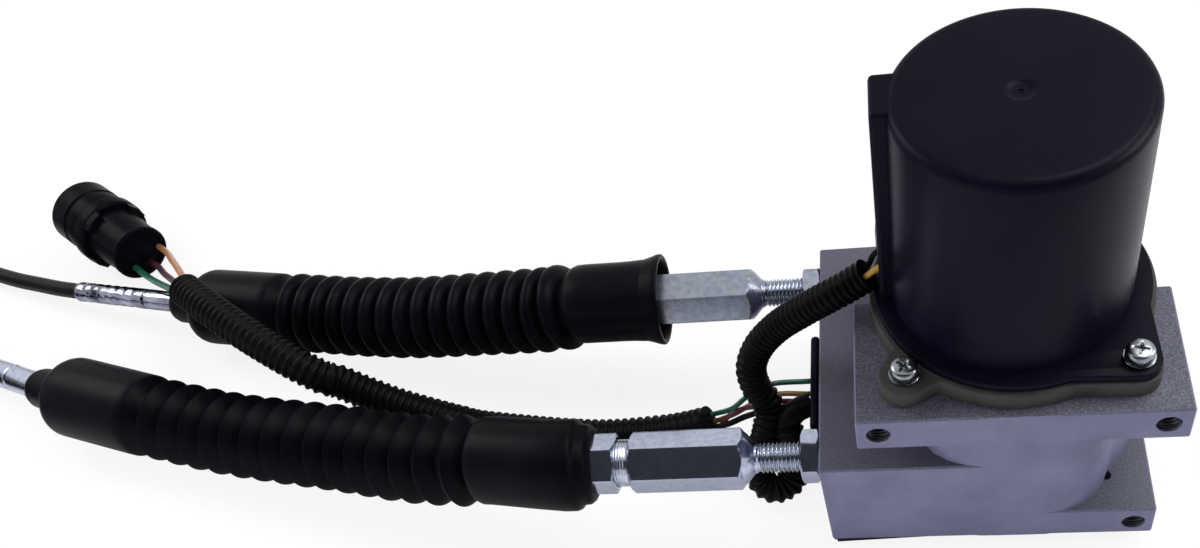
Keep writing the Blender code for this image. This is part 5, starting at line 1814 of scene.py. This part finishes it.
REAR_CONDUIT = [
    (-432.2, 95.6, 10.2), (-445.6, 99.6, 8.9), (-459.7, 104.6, 7.4), (-474.1, 109.7, 6.0),
    (-488.6, 115.5, 4.9), (-503, 121.3, 4.1), (-517.5, 127.1, 3.9), (-532, 132.9, 3.9),
    (-546, 138.5, 3.9), (-560, 144.1, 3.9),
]
MAIN_LOOM = [
    (-347.2, 61.7, 43.3), (-329.9, 47.9, 45), (-308.3, 32.9, 43.5), (-287.6, 21.9, 37.5),
    (-276.6, 18.5, 31), (-271.2, 18.8, 27), (-260.4, 17.4, 19.5), (-248.4, 15.1, 13.5),
    (-235.1, 12.2, 9.8), (-221.6, 8.5, 8.2), (-208, 5, 7.8), (-163.4, -1.4, 7.8),
    (-134.5, -2.3, 10), (-121.7, -2.8, 13), (-113.5, -3.1, 16),
]
LOOP_LOOM = [
    (-47.2, -0.4, 96.0), (-50.8, -0.6, 93.4), (-55.7, -0.9, 90.0), (-61.4, -0.8, 86.0),
    (-71.6, 0.7, 77.0), (-80.8, 2.9, 67.0), (-88.7, 2.5, 57.0), (-92.7, -0.2, 48.0),
    (-91.8, -3.3, 40.0), (-87.9, -6.8, 33.0), (-88.5, -12.4, 27.0), (-91.2, -17.0, 19.0),
    (-93.2, -22.0, 12.0), (-92.2, -25.9, 8.0), (-87.7, -28.2, 6.6), (-82.1, -26.6, 7.8),
    (-79.1, -23.1, 12.0), (-78.5, -19.2, 18.0), (-79.9, -16.3, 24.0), (-81.1, -13.4, 28.0),
]
PLUG_WIRES = {
    "plug_wire_orange": (WIRE_ORANGE, [
        (-396.0, 119.0, 13.6), (-385.0, 108.6, 19.6), (-371.7, 93.6, 29.9), (-358.0, 78.0, 39.4),
        (-347.4, 65.4, 45.0), (-341.3, 59.6, 45.8)]),
    "plug_wire_dark": (WIRE_DARK, [
        (-400.0, 111.8, 10.4), (-389.4, 102.8, 16.6), (-375.6, 88.3, 26.4), (-361.5, 74.5, 36.4),
        (-349.5, 63.6, 43.0), (-342.8, 58.4, 43.6)]),
    "plug_wire_green": (WIRE_GREEN, [
        (-404.0, 106.0, 13.2), (-393.4, 96.6, 17.8), (-378.8, 83.9, 26.2), (-364.0, 72.0, 34.4),
        (-351.0, 61.8, 41.2), (-344.0, 56.6, 41.8)]),
}
SIDE_WIRES = {
    "side_wire_green": (WIRE_GREEN, [
        (-112.9, 1.4, 16.1), (-110.1, 1.3, 17.1), (-103.2, -1.8, 24.0), (-97.8, 0.8, 27.0),
        (-91.8, 3.9, 29.0), (-85.0, 4.4, 31.0), (-74.0, 0.8, 36.0), (-71.0, 0.8, 36.0)]),
    "side_wire_ochre": (WIRE_YELLOW, [
        (-112.1, 0.0, 13.5), (-109.2, -0.1, 14.6), (-102.6, -1.4, 20.0), (-96.5, 1.0, 22.0),
        (-89.1, 2.8, 25.0), (-82.2, 1.4, 28.0), (-74.0, -1.4, 31.0), (-71.0, -1.4, 31.0)]),
    "side_wire_maroon": (WIRE_MAROON, [
        (-112.2, -3.5, 13.7), (-109.4, -3.6, 14.7), (-104.2, -3.4, 22.0), (-98.1, -1.8, 24.0),
        (-93.3, -2.0, 25.0), (-86.1, -1.7, 27.0), (-80.1, -2.3, 28.0), (-74.0, -3.5, 28.0),
        (-71.0, -3.5, 28.0)]),
}
MOTOR_WIRES = {
    "motor_wire_yellow": (WIRE_YELLOW, [
        (-50.0, -2.2, 95.0), (-47.0, -2.6, 98.2), (-44.6, -2.6, 100.6), (-42.6, -2.2, 101.8)]),
    "motor_wire_maroon": (WIRE_MAROON, [
        (-49.0, 1.6, 94.6), (-46.6, 0.6, 96.4), (-44.6, -0.4, 97.6), (-42.6, -1.0, 98.2)]),
    "motor_wire_dark": (LOOM_BLACK, [
        (-49.0, 0.2, 96.0), (-46.2, 1.2, 100.0), (-44.8, 1.0, 104.0), (-42.6, 0.6, 107.0)]),
}


@dataclass
class Loom:
    """A corrugated split loom along its route."""

    shop: FinishShop
    trees: ShapeTrees
    name: str
    knots: Sequence[Knot]
    radius: float
    pitch: float
    depth: float = 1.05
    per_rib: int = 8
    sides: int = 40

    def build(self) -> tuple[bpy.types.Object, list[Knot], float]:
        """Make the ribbed tube.

        Returns:
            The piece, its centre line in metres and its length in metres.
        """
        route = Route(self.knots)
        ribs = round(route.length / self.pitch)
        line = line_object(f"{self.name}_ribbed", route.samples)
        piece = made_solid(self.trees.loom.grow(line, {
            "Radius": self.radius * MM, "Pitch": route.length / ribs * MM, "Depth": self.depth * MM,
            "Points": ribs * self.per_rib + 1, "Sides": self.sides,
            "Material": self.shop.get(LOOM_BLACK)}), 50)
        settle(piece, "black_plastic", self.name)
        steps = 160
        metres = [tuple(route.point(route.length * i / steps) * MM) for i in range(steps + 1)]
        return piece, metres, route.length * MM


def wire(shop: FinishShop, trees: ShapeTrees, name: str, knots: Sequence[Knot], finish: Finish,
         radius: float, node: str = "") -> bpy.types.Object:
    """One insulated wire.

    Args:
        shop: Where materials come from.
        trees: The node trees.
        name: The piece's name.
        knots: Its route in mm.
        finish: Its finish.
        radius: Its radius in mm.
        node: The CAD node that it replaces.

    Returns:
        The piece.
    """
    route = Route(knots, step=0.8)
    stations = [(i * route.step, radius) for i in range(len(route.samples))]
    piece = run_piece(name, route, stations, finish, shop, trees, sides=16)
    return settle(piece, finish.slot, *([node] if node else []))


@dataclass
class Connector:
    """The round plug with its collar and lugs. Places along it are measured back from its mouth."""

    shop: FinishShop
    rear: Knot = (-400.7, 111.4, 17.6)
    mouth: Knot = (-444.6, 143.7, 18.0)
    barrel_r: float = 16.2
    collar_r: float = 17.3
    body_r: float = 13.6
    socket_r: float = 14.0
    socket_depth: float = 18.0
    insert_depth: float = 6.0
    collar_from: float = 31.0
    collar_to: float = 22.5
    ring_at: float = 12.0
    pins: int = 6
    pin_circle_r: float = 7.6
    pin_r: float = 0.9
    pin_depth: float = 2.0
    lugs: tuple[int, ...] = (20, 200, 110, 290)
    lug_half: float = 0.30

    def build(self) -> list[bpy.types.Object]:
        """Make the shell, the collar and the insert.

        Returns:
            The pieces.
        """
        rear, mouth = Vector(self.rear), Vector(self.mouth)
        along = (mouth - rear).normalized()
        length = (mouth - rear).length
        low, high, groove = length - self.collar_from, length - self.collar_to, length - self.ring_at
        body_r, barrel_r, collar_r, socket_r = self.body_r, self.barrel_r, self.collar_r, self.socket_r
        floor = length - self.socket_depth
        form = Form()
        form.turned([
            (0.1, 1.6), (body_r - 2.6, 1.6), (body_r - 2.0, 0.0), (body_r - 0.7, 0.0), (body_r - 0.1, 0.6),
            (body_r - 0.1, 2.6), (body_r - 0.7, 3.2), (body_r + 0.5, low), (body_r + 0.5, high),
            (barrel_r - 0.7, high + 0.4), (barrel_r - 0.4, high + 1.2), (barrel_r - 0.4, groove - 1.4),
            (barrel_r - 0.9, groove - 0.9), (barrel_r - 0.9, groove - 0.4), (barrel_r, groove + 0.2),
            (barrel_r, length - 1.0), (barrel_r - 0.6, length - 0.2), (socket_r + 0.4, length),
            (socket_r, length - 0.6), (socket_r, floor), (0.1, floor)], rear, along, 96)
        shell = form.to_object("plug_shell", [PLUG_BLACK], self.shop, 35)
        settle(shell, "black_plastic", "connector_shell")
        collar = Form()
        collar.turned([
            (body_r + 0.1, low), (collar_r - 1.0, low), (collar_r - 0.3, low + 0.6), (collar_r, low + 1.6),
            (collar_r, high - 1.2), (collar_r - 0.7, high - 0.3), (body_r + 0.1, high - 0.3)],
            rear, along, 96, closed=True)
        side = along.cross(UP).normalized()
        above = side.cross(along)
        for angle in self.lugs:
            self.lug(collar, rear, along, side, above, math.radians(angle), low)
        ring = collar.to_object("plug_collar", [PLUG_BLACK], self.shop, 35)
        settle(ring, "black_plastic", "connector_collar")
        insert = Form()
        back, face, edge_r = floor + 0.2, length - self.insert_depth, socket_r - 0.8
        insert.turned([(0.1, back), (edge_r, back), (edge_r, face - 0.5), (edge_r - 0.4, face), (0.1, face)],
                      rear, along, 64)
        foot, tip, pin_r = face - 1.0, length - self.pin_depth, self.pin_r
        for k in range(self.pins):
            a = 2 * math.pi * k / self.pins
            pin = rear + self.pin_circle_r * (math.cos(a) * side + math.sin(a) * above)
            insert.turned([(0.1, foot), (pin_r, foot), (pin_r, tip - 0.6), (pin_r - 0.4, tip), (0.1, tip)],
                          pin, along, 20, 1)
        core = insert.to_object("plug_insert", [PLUG_BLACK, BRONZE], self.shop, 35)
        settle(core, "black_plastic", "connector_insert")
        return [shell, ring, core]

    def lug(self, form: Form, rear: Vector, along: Vector, side: Vector, above: Vector, angle: float,
            low: float) -> None:
        """Add one locking lug behind the collar.

        Args:
            form: Where it goes.
            rear: The plug's rear end.
            along: Its axis.
            side: Direction across it.
            above: Direction up from it.
            angle: Where the lug stands.
            low: Distance of the collar's rear face.
        """
        half, foot_r, collar_r = self.lug_half, self.body_r - 0.2, self.collar_r
        rings = []
        for at, outer in ((low - 3.6, collar_r - 1.4), (low - 3.0, collar_r - 0.6),
                          (low + 0.5, collar_r - 0.3)):
            ring = []
            for r, off in ((outer, -half), (outer + 0.15, 0.0), (outer, half), (foot_r, half),
                           (foot_r, 0.0), (foot_r, -half)):
                a = angle + off
                ring.append(rear + along * at + r * (math.cos(a) * side + math.sin(a) * above))
            rings.append(ring)
        form.loft(rings)


@dataclass
class Harness:
    """Looms, plug, wires and the side plate that they enter."""

    shop: FinishShop
    trees: ShapeTrees
    plug_wire_r: float = 1.5
    side_wire_r: float = 1.05
    spare_wire_r: float = 1.2
    sleeve_r: float = 4.6
    plate: tuple[Knot, Knot] = ((-70.7, -28.0, 12.0), (-67.3, 14.0, 47.5))
    plate_edge: float = 1.6

    def build(self) -> None:
        """Make the harness."""
        plug = Connector(self.shop).build()
        for name, (finish, knots) in PLUG_WIRES.items():
            plug.append(wire(self.shop, self.trees, f"{name}_insulated", knots, finish,
                             self.plug_wire_r, name))
        for name, (finish, knots) in SIDE_WIRES.items():
            wire(self.shop, self.trees, f"{name}_insulated", knots, finish,
                                    self.side_wire_r, name)
        sleeve = wire(self.shop, self.trees, "plate_sleeve",
                      [(-81.6, -14.0, 27.0), (-80.2, -12.6, 30.0), (-77.0, -10.5, 33.0), (-71.2, -8.0, 34.0)],
                      LOOM_BLACK, self.sleeve_r)
        spare = wire(self.shop, self.trees, "plate_wire_dark",
                     [(-112.0, -4.6, 15.6), (-105.0, -5.4, 19.0), (-98.0, -4.0, 21.5), (-90.0, -5.0, 26.0),
                      (-80.0, -6.0, 30.0), (-71.2, -6.0, 31.5)], LOOM_BLACK, self.spare_wire_r)
        main_loom = Loom(self.shop, self.trees, "main_loom", MAIN_LOOM, radius=7.4, pitch=3.3)
        loom, line, length = main_loom.build()
        loop_loom = Loom(self.shop, self.trees, "loop_loom", LOOP_LOOM, radius=5.9, pitch=2.5)
        loop, line, length = loop_loom.build()
        [sleeve] + self.motor_wires()
        self.side_plate()

    def motor_wires(self) -> list[bpy.types.Object]:
        """Three short wires from the loop's upper end into the cover's rib."""
        return [wire(self.shop, self.trees, name, knots, finish, self.side_wire_r)
                for name, (finish, knots) in MOTOR_WIRES.items()]

    def side_plate(self) -> None:
        """The black grommet plate on the housing's left face."""
        form = Form()
        form.block(*self.plate)
        plate = evaluated(form.to_object("wire_entry_plate", [MOULDED_BLACK], self.shop, 30,
                                         bevel=self.plate_edge))
        settle(plate, "black_plastic", "side_plate")


@dataclass
class BoltThreads:
    """Helical threads inside the three bores of the front plates."""

    shop: FinishShop
    trees: ShapeTrees
    bores: Sequence[Station] = ((-45.6, 72.4), (45.6, 72.4), (41.5, 11.7))
    bore_r: float = 4.1
    crest_r: float = 3.55
    pitch: float = 1.25
    length: float = 12.5
    face_y: float = -50.0
    mouth_gap: float = 0.7
    wall_gap: float = 0.03

    def build(self) -> None:
        """Make the thread of each bore."""
        for number, (x, z) in enumerate(self.bores, 1):
            mouth = Vector((x, self.face_y + self.mouth_gap, z))
            # The threads are coloured darker than the casting: painted shade inside the bores.
            thread = thread_piece(f"bolt_thread_{number}", mouth, Vector((0, 1, 0)), self.length,
                                  self.bore_r - self.wall_gap, self.bore_r - self.crest_r, self.pitch,
                                  BORE_PAINTED_SHADE, self.shop, self.trees, bore=True)
            settle(thread, "cast_aluminium")


CARRIED_OVER = {
    "housing": CASTING, "bottom_gasket": GASKET, "bottom_cover": MOULDED_BLACK, "base_screw_1": BRIGHT_ZINC,
    "base_screw_2": BRIGHT_ZINC, "angle_sensor": MOULDED_BLACK, "bearing_plate": GROUND_STEEL,
    "lower_bush": BRONZE, "upper_bush": BRONZE, "output_shaft": GROUND_STEEL, "cable_drum": CASTING,
    "output_gear": GROUND_STEEL, "counter_axle": GROUND_STEEL, "counter_gear": GROUND_STEEL,
    "motor_can": GROUND_STEEL, "magnet_ring": FERRITE, "motor_bearing": BRONZE, "motor_shaft": GROUND_STEEL,
    "motor_pinion": GROUND_STEEL, "armature": COPPER, "commutator": COPPER, "brush_holder": MOULDED_BLACK,
    "pull_rod_front": GROUND_STEEL, "pull_rod_rear": GROUND_STEEL,
}


def dress_carried_over(frame: dict, shop: FinishShop) -> None:
    """Give each CAD node that stays its finish.

    Args:
        shop: Where materials come from.
    """
    for name, finish in CARRIED_OVER.items():
        obj = frame["nodes"][name]
        for place in obj.material_slots:
            place.material = shop.get(finish)
        LOG.info("carried over %s as %s", name, finish.name)


def main() -> None:
    """Build the scene in order."""
    logging.basicConfig(level=logging.INFO, format="%(message)s")
    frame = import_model()
    Studio().build()
    shop = FinishShop()
    trees = ShapeTrees()
    dress_carried_over(frame, shop)
    MotorCover(shop).build()
    Adaptor(shop).build()
    PanScrews(shop, trees).build()
    BoltThreads(shop, trees).build()
    CableAdjuster(shop, trees, "front", FRONT_CABLE_Y, turn=math.radians(52)).build()
    # The rear adjuster and its nuts take the darker copy of the same zinc: painted shade.
    CableAdjuster(shop, trees, "rear", REAR_CABLE_Y, turn=math.radians(18.9), finish=ZINC_PAINTED_SHADE).build()
    Boot(shop, trees, "front", FRONT_BOOT, lip_r=17.1, near_r=16.8, far_r=18.0, folds=15, folds_from_x=-198.0,
         folds_to_x=-356.0, far_to_x=-408.5, fold_shape=Fold.SHARP_CREST).build()
    Boot(shop, trees, "rear", REAR_BOOT, lip_r=18.2, near_r=16.0, far_r=17.2, folds=16, folds_from_x=-168.0,
         folds_to_x=-308.0, far_to_x=-356.0, fold_shape=Fold.ROUND_CREST, flared=True).build()
    ControlCable(shop, trees, "front", FRONT_BOOT[-1], heading=(-25.1, 11.2, -4.0), conduit=FRONT_CONDUIT,
                 coil=(-532.0, 19.35), ferrule_r=6.2, crimps=False).build()
    ControlCable(shop, trees, "rear", REAR_BOOT[-1], heading=(-59.5, 15.5, -5.0), conduit=REAR_CONDUIT,
                 coil=(-577.95, 99.45), ferrule_r=4.8, crimps=True).build()
    Harness(shop, trees).build()


if __name__ == "__main__":
    main()
